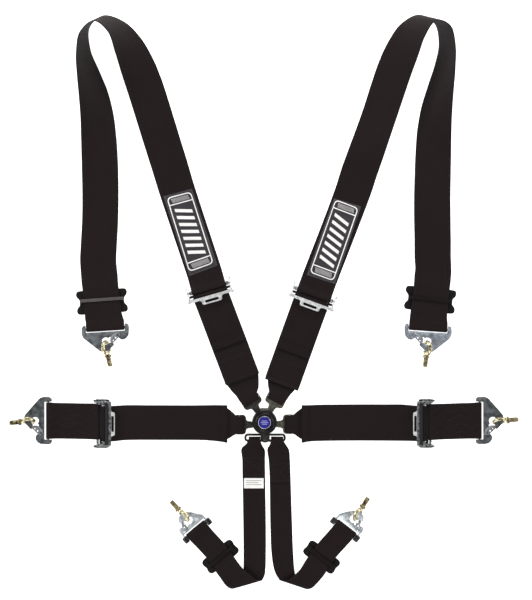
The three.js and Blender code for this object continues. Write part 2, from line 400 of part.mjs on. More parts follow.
// ---- hooks, latches, eye bolts -----------------------------------------------------------
const arc = (a, c, r, d0, d1, n) => Array.from({ length: n + 1 }, (_, i) => { const t = rad(d0 + (d1 - d0) * i / n); return [a + r * Math.cos(t), c + r * Math.sin(t)]; });
for (const k in HOOK) {
  const [x, y, h, inch, s, bh] = HOOK[k];
  const zb = inch === 3 ? HOOK_BAR_Z : 6.6;
  const hb = at([x, y, h], -6, 0, zb);
  // plate in its own frame, bar centre at the origin; b runs to the closed side of the hook
  const big = [[3,49.5],[13,44],[40.4,10.5],[43,4],[41.5,-4],[30,-17],[26.5,-16.5],[24.6,-10],[HOLE_A + HOLE_R * 0.5, -HOLE_R * 0.86]];
  const low3 = [[12.4,-8],[12.4,-20],[14.5,-27],[19,-31],[20,-37],[17,-43],[10.6,-48.5],[-7,-49.4],[-12.5,-46],[-13,-41],[-9,-38.5],[-9,38.5],[-13,41],[-12.5,46],[-7,49.4]];
  const big2 = [[3,33],[11,31.5],[33,15],[41,5],[41.5,-3],[37,-11.5],[30,-16.5],[26.5,-16.5],[24.6,-10],[HOLE_A + HOLE_R * 0.5, -HOLE_R * 0.86]];
  const low2 = [[12.4,-8],[12.4,-16],[15,-19],[16.5,-24],[14,-30],[8,-33.2],[-5,-33.8],[-9,-31],[-9,31],[-5,33.8]];
  const holeArc = arc(HOLE_A, 0, HOLE_R, -55, 225, 20);
  const pts = (inch === 3 ? big : big2).slice(0, -1).concat(holeArc, inch === 3 ? low3 : low2);
  let out = pts.map(([a, b]) => [a + 6, b * s]);
  if (s > 0) out = out.reverse();
  const sw = inch === 3 ? 39.4 : 27;
  let plate = slab(out, -HOOK_T / 2, HOOK_T / 2, [rect(3, 10.2, -sw, sw)]);
  const rv = inch === 3 ? [14.4, -27 * s - 0] : [14.4, -21 * s];
  const rb = inch === 3 ? -25.5 : -20.5, ra = 8.2;
  plate = add(plate, move(disc(0, 0, 2.2, 0, 4.4, 16), new THREE.Matrix4().makeTranslation(ra + 6, rb * s, 0)));
  const M = place(hb.x, hb.y, zb, h, HOOK_TILT[inch === 3 ? 0 : 1]);
  put('hook_' + k, move(plate, M), k.startsWith('crotch') ? ZINC : ZINC_DARK);
  // latch: spring gate across the mouth, riveted above the plate
  const lo = rounded([[ra - 5, rb - 3.5], [ra + 3, rb - 5], [ra + 9, rb + 2], [27, -14.5], [26.5, -11.5], [21.5, -10.2], [14, -12.5], [ra - 2, rb + 6]].map(([a, b]) => [a + 6, b * s]), 2);
  if (s > 0) { /* outline already counter-clockwise */ }
  const latch = slab(lo, 1.8, 3.4, [circle(ra + 6, rb * s, 2.6, 16)]);
  put('latch_' + k, move(latch, M), k.startsWith('crotch') ? ZINC : ZINC_DARK);
  // eye bolt: ring, collar, threaded shank
  const rc = V(RING_A + 6, 0, 0).applyMatrix4(M);
  const g = new THREE.TorusGeometry(RING_R, WIRE_R, 10, 20);
  g.rotateX(Math.PI / 2 - rad(90 - RING_ROLL) * s * 1 - Math.PI / 2 + Math.PI / 2);
  const shank = add(along(WIRE_R + 0.3, RING_R + 1, RING_R + 7, 10), along(7, RING_R + 4.2, RING_R + 8.2, 6), thread(RING_R + 8, RING_R + 28.5));
  const bolt = add(solid(g), shank);
  put('eye_bolt_' + k, move(bolt, place(rc.x, rc.y, rc.z, bh, -BOLT_PITCH)), GOLD);
  if (inch === 2) {
    const t = add(across(circle(0, 0, 4.6, 20), -26.6, 26.6), ...[-1, 1].map(q => across(rounded(rect(-7.5, 3, -4.6, 4.6), 2.5), q > 0 ? 27.4 : -36.8, q > 0 ? 36.8 : -27.4)),
      ...[-1, 1].map(q => across(rounded(rect(-6.5, 2.4, -4.2, 4.2), 2.5), q > 0 ? 26 : -28, q > 0 ? 28 : -26)));
    const c = sub(t, block(-3.35, 60, -34.2, 34.2, -1.85, 1.85));
    put('bar_sleeve_' + k, move(c, M), BLACK);
  }
}
function along(r, a0, a1, n) {
  const g = new THREE.CylinderGeometry(r, r, a1 - a0, n);
  g.rotateZ(-Math.PI / 2);
  g.translate((a0 + a1) / 2, 0, 0);
  return solid(g);
}
function thread(a0, a1) {
  const pts = [new THREE.Vector2(0, a0)];
  const pitch = 3.4;
  const n = Math.floor((a1 - a0) / pitch);
  for (let i = 0; i < n; i++) { pts.push(new THREE.Vector2(4.4, a0 + i * pitch), new THREE.Vector2(5.2, a0 + (i + 0.5) * pitch)); }
  pts.push(new THREE.Vector2(4.4, a1), new THREE.Vector2(0, a1));
  const g = new THREE.LatheGeometry(pts, 10);
  g.rotateZ(-Math.PI / 2);
  return solid(g);
}

// ---- patches and label -------------------------------------------------------------------
function patch(name, corners, z, lo) {
  put(name, slab(corners, z, lo), PATCH);
}
function onRun(loop, a, b, s0, s1, w0, w1, lift, t) { // sits on the run between two stations
  const P = (k, w) => { const e1 = V(a[0] + (b[0] - a[0]) * k, a[1] + (b[1] - a[1]) * k, a[2] + (b[2] - a[2]) * k), e2 = V(a[3] + (b[3] - a[3]) * k, a[4] + (b[4] - a[4]) * k, a[5] + (b[5] - a[5]) * k); return e1.lerp(e2, w); };
  const st = [];
  for (const k of [s0, s1]) { const p = P(k, w0), q = P(k, w1); p.z += lift; q.z += lift; st.push([p, q, t]); }
  return st;
}
{
  const z = PLY + 0.35;
  const L = [[-208.5,479.8],[-153.3,493.4],[-98.5,330.0],[-159.0,306.8]];
  put('patch_left', slab([[-211,472],[-154,489],[-99,331],[-158,309]].reverse(), z, z + 1.2), PATCH);
  put('patch_right', slab([[153.6,470],[198.6,452],[146,295],[97.5,313]].map(p => p), z, z + 1.2), PATCH);
  put('label_crotch_left', slab([[-42.8,-118.8],[-1.8,-118.8],[-1.8,-139.8],[-42.8,-139.8]].reverse(), DOUBLE + 0.3, DOUBLE + 0.9), LABEL);
}

export default root;
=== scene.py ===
# Looks of the racing harness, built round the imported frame. Metres in Blender; the helpers below take millimetres.
import sys
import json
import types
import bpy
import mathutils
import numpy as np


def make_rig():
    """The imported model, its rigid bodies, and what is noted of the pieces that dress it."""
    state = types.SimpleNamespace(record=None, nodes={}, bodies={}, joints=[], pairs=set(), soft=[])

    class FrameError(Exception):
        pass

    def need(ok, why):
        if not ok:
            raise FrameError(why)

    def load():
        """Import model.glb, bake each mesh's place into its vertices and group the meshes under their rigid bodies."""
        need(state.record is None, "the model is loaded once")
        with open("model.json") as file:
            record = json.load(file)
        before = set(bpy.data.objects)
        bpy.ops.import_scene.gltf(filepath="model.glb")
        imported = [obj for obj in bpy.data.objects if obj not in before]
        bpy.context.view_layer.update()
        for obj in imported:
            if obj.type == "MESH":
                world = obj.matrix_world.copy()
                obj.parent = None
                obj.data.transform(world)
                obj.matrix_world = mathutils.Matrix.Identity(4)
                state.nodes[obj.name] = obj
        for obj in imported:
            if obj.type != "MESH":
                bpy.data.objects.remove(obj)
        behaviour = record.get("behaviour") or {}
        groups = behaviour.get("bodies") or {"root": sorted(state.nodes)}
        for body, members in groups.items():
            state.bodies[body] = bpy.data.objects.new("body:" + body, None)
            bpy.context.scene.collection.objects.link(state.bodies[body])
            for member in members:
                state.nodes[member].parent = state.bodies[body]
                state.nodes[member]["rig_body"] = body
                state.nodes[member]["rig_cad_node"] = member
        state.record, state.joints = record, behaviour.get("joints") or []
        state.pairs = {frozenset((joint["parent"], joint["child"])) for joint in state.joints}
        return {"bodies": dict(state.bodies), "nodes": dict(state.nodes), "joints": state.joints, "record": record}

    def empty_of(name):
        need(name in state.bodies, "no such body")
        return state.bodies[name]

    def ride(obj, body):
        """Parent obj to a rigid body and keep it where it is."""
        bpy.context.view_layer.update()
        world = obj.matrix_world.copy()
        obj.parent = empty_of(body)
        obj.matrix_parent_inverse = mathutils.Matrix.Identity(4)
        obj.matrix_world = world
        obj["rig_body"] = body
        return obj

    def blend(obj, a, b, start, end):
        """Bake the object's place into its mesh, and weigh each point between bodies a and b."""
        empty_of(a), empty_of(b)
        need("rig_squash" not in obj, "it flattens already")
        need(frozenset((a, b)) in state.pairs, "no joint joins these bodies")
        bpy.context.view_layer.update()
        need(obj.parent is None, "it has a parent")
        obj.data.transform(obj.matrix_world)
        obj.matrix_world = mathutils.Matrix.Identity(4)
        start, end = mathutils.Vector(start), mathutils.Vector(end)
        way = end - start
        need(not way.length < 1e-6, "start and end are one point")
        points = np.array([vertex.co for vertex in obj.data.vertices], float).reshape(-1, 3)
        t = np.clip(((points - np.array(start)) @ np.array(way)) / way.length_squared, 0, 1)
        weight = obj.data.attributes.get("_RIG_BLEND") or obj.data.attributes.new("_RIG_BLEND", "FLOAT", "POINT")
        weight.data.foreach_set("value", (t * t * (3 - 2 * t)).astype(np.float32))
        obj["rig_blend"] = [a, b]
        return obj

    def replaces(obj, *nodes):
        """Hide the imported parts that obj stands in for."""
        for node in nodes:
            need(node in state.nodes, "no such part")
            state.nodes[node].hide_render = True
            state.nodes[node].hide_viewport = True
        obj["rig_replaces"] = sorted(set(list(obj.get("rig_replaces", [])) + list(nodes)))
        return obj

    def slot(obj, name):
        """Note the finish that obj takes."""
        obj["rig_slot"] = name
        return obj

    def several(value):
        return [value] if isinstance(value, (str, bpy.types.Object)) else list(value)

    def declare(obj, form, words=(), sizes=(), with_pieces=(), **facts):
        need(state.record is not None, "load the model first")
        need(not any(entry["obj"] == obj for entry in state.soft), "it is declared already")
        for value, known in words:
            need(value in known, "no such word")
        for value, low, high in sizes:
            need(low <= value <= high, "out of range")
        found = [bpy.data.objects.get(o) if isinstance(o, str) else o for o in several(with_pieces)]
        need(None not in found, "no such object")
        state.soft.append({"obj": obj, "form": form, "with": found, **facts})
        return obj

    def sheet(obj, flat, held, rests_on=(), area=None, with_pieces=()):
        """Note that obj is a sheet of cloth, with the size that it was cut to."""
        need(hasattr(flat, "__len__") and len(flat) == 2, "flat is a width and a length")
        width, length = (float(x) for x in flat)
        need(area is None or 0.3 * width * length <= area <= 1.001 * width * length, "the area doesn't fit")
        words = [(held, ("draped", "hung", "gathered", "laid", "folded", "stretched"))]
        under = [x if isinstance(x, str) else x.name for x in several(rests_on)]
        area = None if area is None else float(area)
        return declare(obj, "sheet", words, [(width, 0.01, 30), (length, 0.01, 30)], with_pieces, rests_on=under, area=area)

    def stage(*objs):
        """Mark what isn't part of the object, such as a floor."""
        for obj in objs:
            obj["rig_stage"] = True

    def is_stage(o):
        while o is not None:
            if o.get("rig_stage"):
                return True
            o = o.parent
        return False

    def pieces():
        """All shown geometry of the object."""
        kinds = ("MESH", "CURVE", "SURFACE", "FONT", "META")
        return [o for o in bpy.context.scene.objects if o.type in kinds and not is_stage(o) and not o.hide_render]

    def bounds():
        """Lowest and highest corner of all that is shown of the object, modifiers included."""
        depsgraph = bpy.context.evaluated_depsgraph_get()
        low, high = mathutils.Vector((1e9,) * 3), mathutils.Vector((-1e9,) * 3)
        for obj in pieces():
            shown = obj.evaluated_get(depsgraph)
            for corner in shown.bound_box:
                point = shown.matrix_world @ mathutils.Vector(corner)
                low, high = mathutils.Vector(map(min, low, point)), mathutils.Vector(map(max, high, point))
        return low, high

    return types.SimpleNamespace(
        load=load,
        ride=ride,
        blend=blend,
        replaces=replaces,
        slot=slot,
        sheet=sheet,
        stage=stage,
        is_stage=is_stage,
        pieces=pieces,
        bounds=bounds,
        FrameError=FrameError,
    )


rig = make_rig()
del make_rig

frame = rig.load()

import json
import math
import bpy
import bmesh
import numpy as np
from mathutils import Matrix, Vector

CAD_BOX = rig.bounds()
MM = 0.001
rad = math.radians

# ------------------------------------------------------------------ places, as in the part
BAR_A, CROTCH_BAR_A = 57.5, 39.4
HOOK_TILT = {3: 14.0, 2: 12.2}
BAR_Z = {3: 5.3, 2: 6.6}
HOLE_A, HOLE_R = 20.5, 8.7
RING_A, RING_R, WIRE_R, RING_ROLL, BOLT_PITCH = 35, 12.5, 3.7, 65, 13.7
TONGUE = dict(shoulder_left=(0, 0, 122.3), shoulder_right=(0, 0, 63.2), lap_left=(0, -6, 180), lap_right=(0, -5, 0), crotch=(1.2, 0, 270))
ADJ = dict(shoulder_left=(-115.2, 274.2, 106), shoulder_right=(101.5, 261.0, 70), lap_left=(-338, -4.2, 180), lap_right=(336, -3.8, 0))
SLIDE = dict(shoulder_left=(-341.4, 256.2, -84, 3), shoulder_right=(347.9, 255.8, -96, 3), crotch_left=(-92.4, -283.5, 129.5, 2), crotch_right=(119.7, -284.6, 52.0, 2))
HOOK = dict(shoulder_left=(-333.3, 189.0, -86.4, 3, -1, -78.7), shoulder_right=(342.4, 188.5, -93.9, 3, 1, -95.3),
            lap_left=(-460.5, 2.2, 180, 3, -1, 187), lap_right=(457.8, 2.5, 0, 3, 1, 3.4),
            crotch_left=(-146.3, -221.6, 129.9, 2, -1, 134), crotch_right=(174.1, -219.2, 52, 2, 1, 55.8))
LOOP_L = [
  [-148.6,500.2,0,-220.8,478.3,0],[-161.4,544.2,0.4,-234.0,521.1,0.8],[-174.9,588.0,2.2,-247.5,564.2,3.5],
  [-188.2,631.6,6.0,-260.8,607.1,7.6],[-201.4,675.0,12.0,-273.6,649.6,14.7],[-215.7,718.6,18.7,-285.8,689.9,28.4],
  [-233.8,761.7,24.5,-297.1,727.6,49.4],[-258.4,802.0,27.8,-306.9,764.6,73.1],[-292.5,834.6,27.8,-319.6,802.4,91.2],
  [-334.8,848.3,23.1,-349.3,824.1,94.0],[-365.6,825.1,11.5,-378.1,803.1,83.2],[-365.0,780.8,1.5,-387.0,762.4,71.9],
  [-347.5,737.3,0,-386.1,719.0,62.0],[-329.4,694.0,0.4,-383.6,675.9,50.6],[-317.4,648.1,0.6,-382.0,633.2,37.9],
  [-311.3,601.5,0,-382.2,591.0,25.0],[-308.1,555.1,0,-382.5,548.4,13.3],[-306.6,508.8,0,-382.4,505.0,5.0],
  [-306.4,462.5,0,-382.4,460.8,1.0],[-307.4,416.2,0,-383.4,415.7,0],[-309.9,370.0,0,-385.9,370.3,0.2],
  [-311.2,340.3,0.1,-387.3,340.2,0.2]]
LOOP_R = [
  [147.7,487.5,0,222.6,474.9,0],[161.9,532.3,0.1,235.6,514.8,3.7],[177.7,575.7,0,249.1,554.8,14.1],
  [193.8,618.9,0.8,262.3,595.5,23.8],[209.0,662.5,6.3,276.0,637.1,31.4],[222.4,705.6,16.6,289.5,678.5,39.8],
  [236.6,747.9,29.0,302.5,718.5,52.8],[255.5,789.3,38.0,315.3,755.8,71.3],[282.2,826.9,38.8,327.8,793.4,89.9],
  [319.8,848.4,29.5,350.8,825.0,95.2],[355.0,833.8,13.7,381.4,815.8,82.7],[365.6,792.3,2.2,392.7,776.4,71.3],
  [357.1,747.2,0,392.9,732.0,64.3],[342.7,703.4,0,390.3,687.6,56.5],[328.9,658.8,0.6,388.6,644.4,45.5],
  [320.5,612.5,0.7,388.4,602.3,33.5],[317.0,566.2,0.1,389.0,559.4,23.3],[315.1,520.2,0,389.2,515.4,15.8],
  [313.9,474.1,0,389.1,471.1,10.6],[313.9,428.1,0,389.8,426.3,7.4],[314.7,382.3,0,390.8,381.2,4.6],
  [315.0,345,0,391.2,345,2]]


def direction(h):
    return np.array([math.cos(rad(h)), math.sin(rad(h)), 0.0])


def left(h):
    return np.array([-math.sin(rad(h)), math.cos(rad(h)), 0.0])


def at(f, a, c, z):
    p = np.array([f[0], f[1], 0.0]) + direction(f[2]) * a + left(f[2]) * c
    p[2] = z
    return p


def place(x, y, z, h, tilt=0.0):
    return Matrix.Translation((x, y, z)) @ Matrix.Rotation(rad(h), 4, 'Z') @ Matrix.Rotation(rad(-tilt), 4, 'Y')


# ------------------------------------------------------------------ node helpers
def material(name):
    m = bpy.data.materials.new(name)
    m.use_nodes = True
    t = m.node_tree
    for n in list(t.nodes):
        t.nodes.remove(n)
    out = t.nodes.new('ShaderNodeOutputMaterial')
    b = t.nodes.new('ShaderNodeBsdfPrincipled')
    t.links.new(b.outputs[0], out.inputs[0])
    return m, t, b


def math_node(t, op, a, b=None, c=None, clamp=False):
    n = t.nodes.new('ShaderNodeMath')
    n.operation = op
    n.use_clamp = clamp
    for i, v in enumerate((a, b, c)):
        if v is None:
            continue
        if hasattr(v, 'links') or hasattr(v, 'is_output'):
            t.links.new(v, n.inputs[i])
        else:
            n.inputs[i].default_value = v
    return n.outputs[0]


def ramp(t, fac, stops):
    n = t.nodes.new('ShaderNodeValToRGB')
    t.links.new(fac, n.inputs[0])
    e = n.color_ramp.elements
    while len(e) < len(stops):
        e.new(0.5)
    for i, (p, c) in enumerate(stops):
        e[i].position = p
        e[i].color = (*c, 1) if len(c) == 3 else c
    return n.outputs[0]


def noise(t, scale, detail=3.0, rough=0.5, vec=None, distortion=0.0):
    n = t.nodes.new('ShaderNodeTexNoise')
    n.inputs['Scale'].default_value = scale
    n.inputs['Detail'].default_value = detail
    n.inputs['Roughness'].default_value = rough
    n.inputs['Distortion'].default_value = distortion
    if vec is not None:
        t.links.new(vec, n.inputs['Vector'])
    return n.outputs['Fac']


def coords(t, kind='Object'):
    n = t.nodes.new('ShaderNodeTexCoord')
    return n.outputs[kind]


def scaled(t, vec, s):
    n = t.nodes.new('ShaderNodeMapping')
    t.links.new(vec, n.inputs['Vector'])
    n.inputs['Scale'].default_value = s
    return n.outputs[0]


def mix(t, fac, a, b):
    n = t.nodes.new('ShaderNodeMix')
    n.data_type = 'RGBA'
    for s, v in ((n.inputs[0], fac), (n.inputs[6], a), (n.inputs[7], b)):
        if hasattr(v, 'is_output'):
            t.links.new(v, s)
        elif isinstance(v, (tuple, list)):
            s.default_value = (*v, 1)
        else:
            s.default_value = v
    return n.outputs[2]


def bump(t, b, height, strength, distance, chain=None):
    n = t.nodes.new('ShaderNodeBump')
    n.inputs['Strength'].default_value = strength
    n.inputs['Distance'].default_value = distance
    t.links.new(height, n.inputs['Height'])
    if chain is not None:
        t.links.new(chain, n.inputs['Normal'])
    t.links.new(n.outputs[0], b.inputs['Normal'])
    return n.outputs[0]


def lin(hexa):
    v = [int(hexa[i:i + 2], 16) / 255 for i in (1, 3, 5)]
    return tuple(x / 12.92 if x <= 0.04045 else ((x + 0.055) / 1.055) ** 2.4 for x in v)


def webbing_material(name, dark, light):
    m, t, b = material(name)
    uv = t.nodes.new('ShaderNodeUVMap')
    uv.uv_map = 'weave'
    sep = t.nodes.new('ShaderNodeSeparateXYZ')
    t.links.new(uv.outputs[0], sep.inputs[0])
    ed = t.nodes.new('ShaderNodeUVMap')
    ed.uv_map = 'edge'
    sede = t.nodes.new('ShaderNodeSeparateXYZ')
    t.links.new(ed.outputs[0], sede.inputs[0])
    x = math_node(t, 'MULTIPLY', sep.outputs[0], 1 / 0.0019)     # column 1.9 mm
    f = math_node(t, 'FRACT', x)
    par = math_node(t, 'MODULO', math_node(t, 'FLOOR', x), 2.0)
    sg = math_node(t, 'MULTIPLY_ADD', par, 2.0, -1.0)
    y = math_node(t, 'MULTIPLY', sep.outputs[1], 1 / 0.0013)
    d = math_node(t, 'MULTIPLY_ADD', math_node(t, 'MULTIPLY', sg, 1.3), math_node(t, 'SUBTRACT', f, 0.5), y)
    h1 = math_node(t, 'MULTIPLY_ADD', math_node(t, 'SINE', math_node(t, 'MULTIPLY', d, 2 * math.pi)), 0.5, 0.5)
    c = math_node(t, 'SUBTRACT', 1.0, math_node(t, 'POWER', math_node(t, 'ABSOLUTE', math_node(t, 'MULTIPLY_ADD', f, 2.0, -1.0)), 4.0))
    weave = math_node(t, 'MULTIPLY', math_node(t, 'MULTIPLY_ADD', h1, 0.7, 0.3), c)
    # plain ribbed selvedge: fine cords along each edge
    sel = math_node(t, 'LESS_THAN', sede.outputs[0], 0.0032)
    cord = math_node(t, 'ABSOLUTE', math_node(t, 'SINE', math_node(t, 'MULTIPLY', sede.outputs[0], math.pi / 0.0011)))
    body = math_node(t, 'ADD', math_node(t, 'MULTIPLY', weave, math_node(t, 'SUBTRACT', 1.0, sel)), math_node(t, 'MULTIPLY', cord, sel))
    obj = coords(t)
    big = noise(t, 9.0, 4, 0.55, obj)
    fine = noise(t, 900.0, 2, 0.6, obj)
    streak = noise(t, 1.0, 3, 0.6, scaled(t, uv.outputs[0], (900, 12, 1)))
    k = math_node(t, 'MULTIPLY_ADD', body, 0.34, math_node(t, 'MULTIPLY_ADD', big, 0.42, math_node(t, 'MULTIPLY', streak, 0.24)))
    col = mix(t, k, dark, light)
    sh = t.nodes.new('ShaderNodeUVMap')
    sh.uv_map = 'shade'
    seps = t.nodes.new('ShaderNodeSeparateXYZ')
    t.links.new(sh.outputs[0], seps.inputs[0])
    col = mix(t, math_node(t, 'MULTIPLY', seps.outputs[0], 0.9), col, tuple(v * 0.12 for v in dark))
    t.links.new(col, b.inputs['Base Color'])
    rg = math_node(t, 'MULTIPLY_ADD', fine, 0.16, 0.68)
    t.links.new(rg, b.inputs['Roughness'])
    b.inputs['Specular IOR Level'].default_value = 0.16
    b.inputs['Sheen Weight'].default_value = 0.02
    b.inputs['Sheen Roughness'].default_value = 0.5
    n1 = bump(t, b, noise(t, 60.0, 3, 0.5, obj), 0.12, 0.0012)
    bump(t, b, body, 0.55, 0.0005, n1)
    return m


def metal_material(name, base, rough, wear=0.5, scratch=0.12, tint=None, metallic=1.0, var=0.25, size=55.0, steep=1.7, spec=0.5):
    m, t, b = material(name)
    obj = coords(t)
    big = noise(t, size, 4, 0.6, obj)
    fine = noise(t, 700.0, 3, 0.6, obj)
    brushed = noise(t, 1.0, 3, 0.6, scaled(t, obj, (260, 2600, 900)))
    lo = tuple(v * (1 - var) for v in base)
    hi = tuple(min(1, v * (1 + var)) for v in base) if tint is None else tint
    col = mix(t, math_node(t, 'MULTIPLY_ADD', big, steep, 0.5 - steep * 0.5, True), lo, hi)
    b.inputs['Specular IOR Level'].default_value = spec
    t.links.new(col, b.inputs['Base Color'])
    b.inputs['Metallic'].default_value = metallic
    r = math_node(t, 'MULTIPLY_ADD', big, wear * 0.3, math_node(t, 'MULTIPLY_ADD', fine, 0.12, rough - 0.1))
    t.links.new(r, b.inputs['Roughness'])
    n1 = bump(t, b, fine, 0.10, 0.0003)
    bump(t, b, brushed, scratch, 0.00025, n1)
    return m


def plastic_material(name, base, rough, grain=0.3):
    m, t, b = material(name)
    obj = coords(t)
    big = noise(t, 40.0, 3, 0.6, obj)
    fine = noise(t, 1500.0, 2, 0.6, obj)
    col = mix(t, big, tuple(v * 0.8 for v in base), tuple(v * 1.3 for v in base))
    t.links.new(col, b.inputs['Base Color'])
    t.links.new(math_node(t, 'MULTIPLY_ADD', fine, 0.2, rough - 0.1), b.inputs['Roughness'])
    bump(t, b, fine, grain, 0.0002)
    return m


WEB = webbing_material('webbing', lin('#0c0607'), lin('#241819'))
WEB_BACK = WEB
THREAD = plastic_material('thread', lin('#1c1615'), 0.6)
THREAD_ANCHOR = plastic_material('thread_anchor', lin('#130e0e'), 0.7)
MATTE = plastic_material('matte_black', lin('#0f0d0d'), 0.75)
THREAD_WHITE = plastic_material('thread_white', lin('#dcdad6'), 0.7)
BLACK_STEEL = metal_material('black_coated_steel', lin('#0f0b0b'), 0.5, metallic=0.0, spec=0.22)
BAR_BLACK = metal_material('worn_black_bar', lin('#140d0d'), 0.6, metallic=0.0, spec=0.15)
CHROME = metal_material('bright_plated_steel', (0.67, 0.69, 0.70), 0.28, scratch=0.08, tint=(0.97, 0.98, 0.98), metallic=0.32, size=150, steep=2.6)
GUN = metal_material('dark_plated_steel', (0.30, 0.31, 0.30), 0.36, var=0.4)
ZINC_DARK = metal_material('grey_zinc', (0.106, 0.117, 0.125), 0.44, tint=(0.264, 0.281, 0.293), var=0.22, size=110, steep=2.6)
ZINC_LIGHT = metal_material('light_zinc', (0.44, 0.48, 0.51), 0.38, tint=(0.80, 0.85, 0.88), var=0.22, size=120, metallic=0.75, steep=2.8)
ZINC_MID = metal_material('mid_zinc', (0.26, 0.29, 0.33), 0.40, tint=(0.50, 0.54, 0.60), var=0.3, size=110, metallic=0.85, steep=2.8)
GOLD = metal_material('yellow_zinc', (0.10, 0.075, 0.02), 0.26, tint=(1.0, 0.90, 0.58), var=0.4, size=150, steep=4.6, metallic=0.8)
GOLD_DARK = metal_material('yellow_zinc_shaded', (0.05, 0.037, 0.011), 0.34, tint=(0.4, 0.34, 0.18), var=0.4, size=150, steep=4.0, metallic=0.7)
BLACK = plastic_material('satin_black', lin('#12100f'), 0.34)
WORN = plastic_material('worn_black', lin('#171111'), 0.5)
SILVER = metal_material('badge_silver', (0.5, 0.5, 0.6), 0.4, var=0.15)
TONGUE_DARK = metal_material('tongue_steel_dark', (0.045, 0.042, 0.038), 0.34, tint=(0.20, 0.195, 0.18), var=0.5, size=240)
TONGUE_LIGHT = metal_material('tongue_steel', (0.13, 0.13, 0.10), 0.32, tint=(0.52, 0.51, 0.42), var=0.5, size=240)
BRACKET = metal_material('bracket_steel', (0.07, 0.073, 0.078), 0.32, tint=(0.50, 0.51, 0.52), var=0.4, size=220, steep=4.0)
LATCH = metal_material('latch_zinc', (0.17, 0.185, 0.20), 0.36, tint=(0.62, 0.65, 0.67), var=0.4, size=170, metallic=0.7)
GREY_CAST = metal_material('grey_cast_bar', (0.085, 0.09, 0.095), 0.42, tint=(0.42, 0.44, 0.45), var=0.3, scratch=0.2, size=190, steep=3.2)
SLIDE_BAR = metal_material('worn_slide_bar', lin('#55504f'), 0.4, metallic=0.2)
THREAD_GREY = plastic_material('thread_grey', lin('#6d696c'), 0.7)
LABEL_CLOTH = plastic_material('label_cloth', lin('#f2f1ee'), 0.8, 0.5)
FLOOR_GLOW = 1.0
LATE = []


# ------------------------------------------------------------------ mesh helpers
def to_object(name, verts, faces, mat, uv=None, edge=None, smooth=True, sharp=35, shade=None):
    me = bpy.data.meshes.new(name)
    me.from_pydata([tuple(v) for v in np.asarray(verts, float) * MM], [], faces)
    me.materials.append(mat)
    if uv is not None:
        for lname, data in (('weave', uv), ('edge', edge), ('shade', shade)):
            if data is None:
                continue
            layer = me.uv_layers.new(name=lname)
            idx = np.zeros(len(me.loops), np.int32)
            me.loops.foreach_get('vertex_index', idx)
            layer.data.foreach_set('uv', np.asarray(data, np.float32)[idx].ravel())
    finish_mesh(me, smooth, sharp)
    o = bpy.data.objects.new(name, me)
    bpy.context.collection.objects.link(o)
    return o


def finish_mesh(me, smooth=True, sharp=35):
    bm = bmesh.new()
    bm.from_mesh(me)
    bmesh.ops.recalc_face_normals(bm, faces=bm.faces)
    bm.to_mesh(me)
    bm.free()
    if smooth:
        me.polygons.foreach_set('use_smooth', [True] * len(me.polygons))
        me.set_sharp_from_angle(angle=rad(sharp))
    me.update()


def rounded(pts, r, n=7):
    """pts are (x, y) or (x, y, radius)."""
    out = []
    N = len(pts)
    for i in range(N):
        p = np.array(pts[i][:2], float)
        rr = pts[i][2] if len(pts[i]) > 2 else r
        if rr == 0:
            out.append(tuple(p))
            continue
        a = np.array(pts[i - 1][:2], float) - p
        b = np.array(pts[(i + 1) % N][:2], float) - p
        la, lb = np.linalg.norm(a), np.linalg.norm(b)
        q = min(rr, la * 0.48, lb * 0.48)
        s, e = p + a / la * q, p + b / lb * q
        for k in range(n + 1):
            u = k / n
            out.append(tuple((1 - u) ** 2 * s + 2 * u * (1 - u) * p + u * u * e))
    return out


def rect(a0, a1, c0, c1):
    return [(a0, c0), (a1, c0), (a1, c1), (a0, c1)]


def circle(a, c, r, n=40):
    return [(a + r * math.cos(2 * math.pi * i / n), c + r * math.sin(2 * math.pi * i / n)) for i in range(n)]


def arc(a, c, r, d0, d1, n):
    return [(a + r * math.cos(rad(d0 + (d1 - d0) * i / n)), c + r * math.sin(rad(d0 + (d1 - d0) * i / n))) for i in range(n + 1)]


def plate(outline, holes, z0, z1, bevel=0.4, M=None, axes='ac'):
    """A flat plate with rounded edges as a mesh datablock. axes 'ac' lies flat, 'az' stands along the strap."""
    cu = bpy.data.curves.new('plate', 'CURVE')
    cu.dimensions = '2D'
    cu.fill_mode = 'BOTH'
    for loop in [outline] + list(holes):
        sp = cu.splines.new('POLY')
        sp.points.add(len(loop) - 1)
        for i, p in enumerate(loop):
            sp.points[i].co = (p[0] * MM, p[1] * MM, 0, 1)
        sp.use_cyclic_u = True
    half = (z1 - z0) / 2
    bv = min(bevel, half * 0.95)
    cu.extrude = (half - bv) * MM
    cu.bevel_depth = bv * MM
    cu.bevel_resolution = 2
    cu.offset = -bv * MM
    o = bpy.data.objects.new('plate', cu)
    bpy.context.collection.objects.link(o)
    bpy.context.view_layer.update()
    me = bpy.data.meshes.new_from_object(o.evaluated_get(bpy.context.evaluated_depsgraph_get()))
    bpy.data.objects.remove(o)
    bpy.data.curves.remove(cu)
    L = Matrix.Translation((0, 0, (z0 + z1) / 2 * MM))
    if axes == 'az':  # x stays along the strap, the outline's second axis is height, the thickness runs across
        L = Matrix(((1, 0, 0, 0), (0, 0, 1, 0), (0, 1, 0, 0), (0, 0, 0, 1))) @ L
    me.transform(L)
    if M is not None:
        me.transform(scale_m(M))
    bm = bmesh.new()
    bm.from_mesh(me)
    bmesh.ops.remove_doubles(bm, verts=bm.verts, dist=2e-6)
    bm.to_mesh(me)
    bm.free()
    return me


def scale_m(M):
    K = M.copy()
    K.translation = K.translation * MM
    return K


def mesh_of(verts, faces, M=None):
    me = bpy.data.meshes.new('m')
    me.from_pydata([tuple(v) for v in np.asarray(verts, float) * MM], [], faces)
    if M is not None:
        me.transform(scale_m(M))
    return me


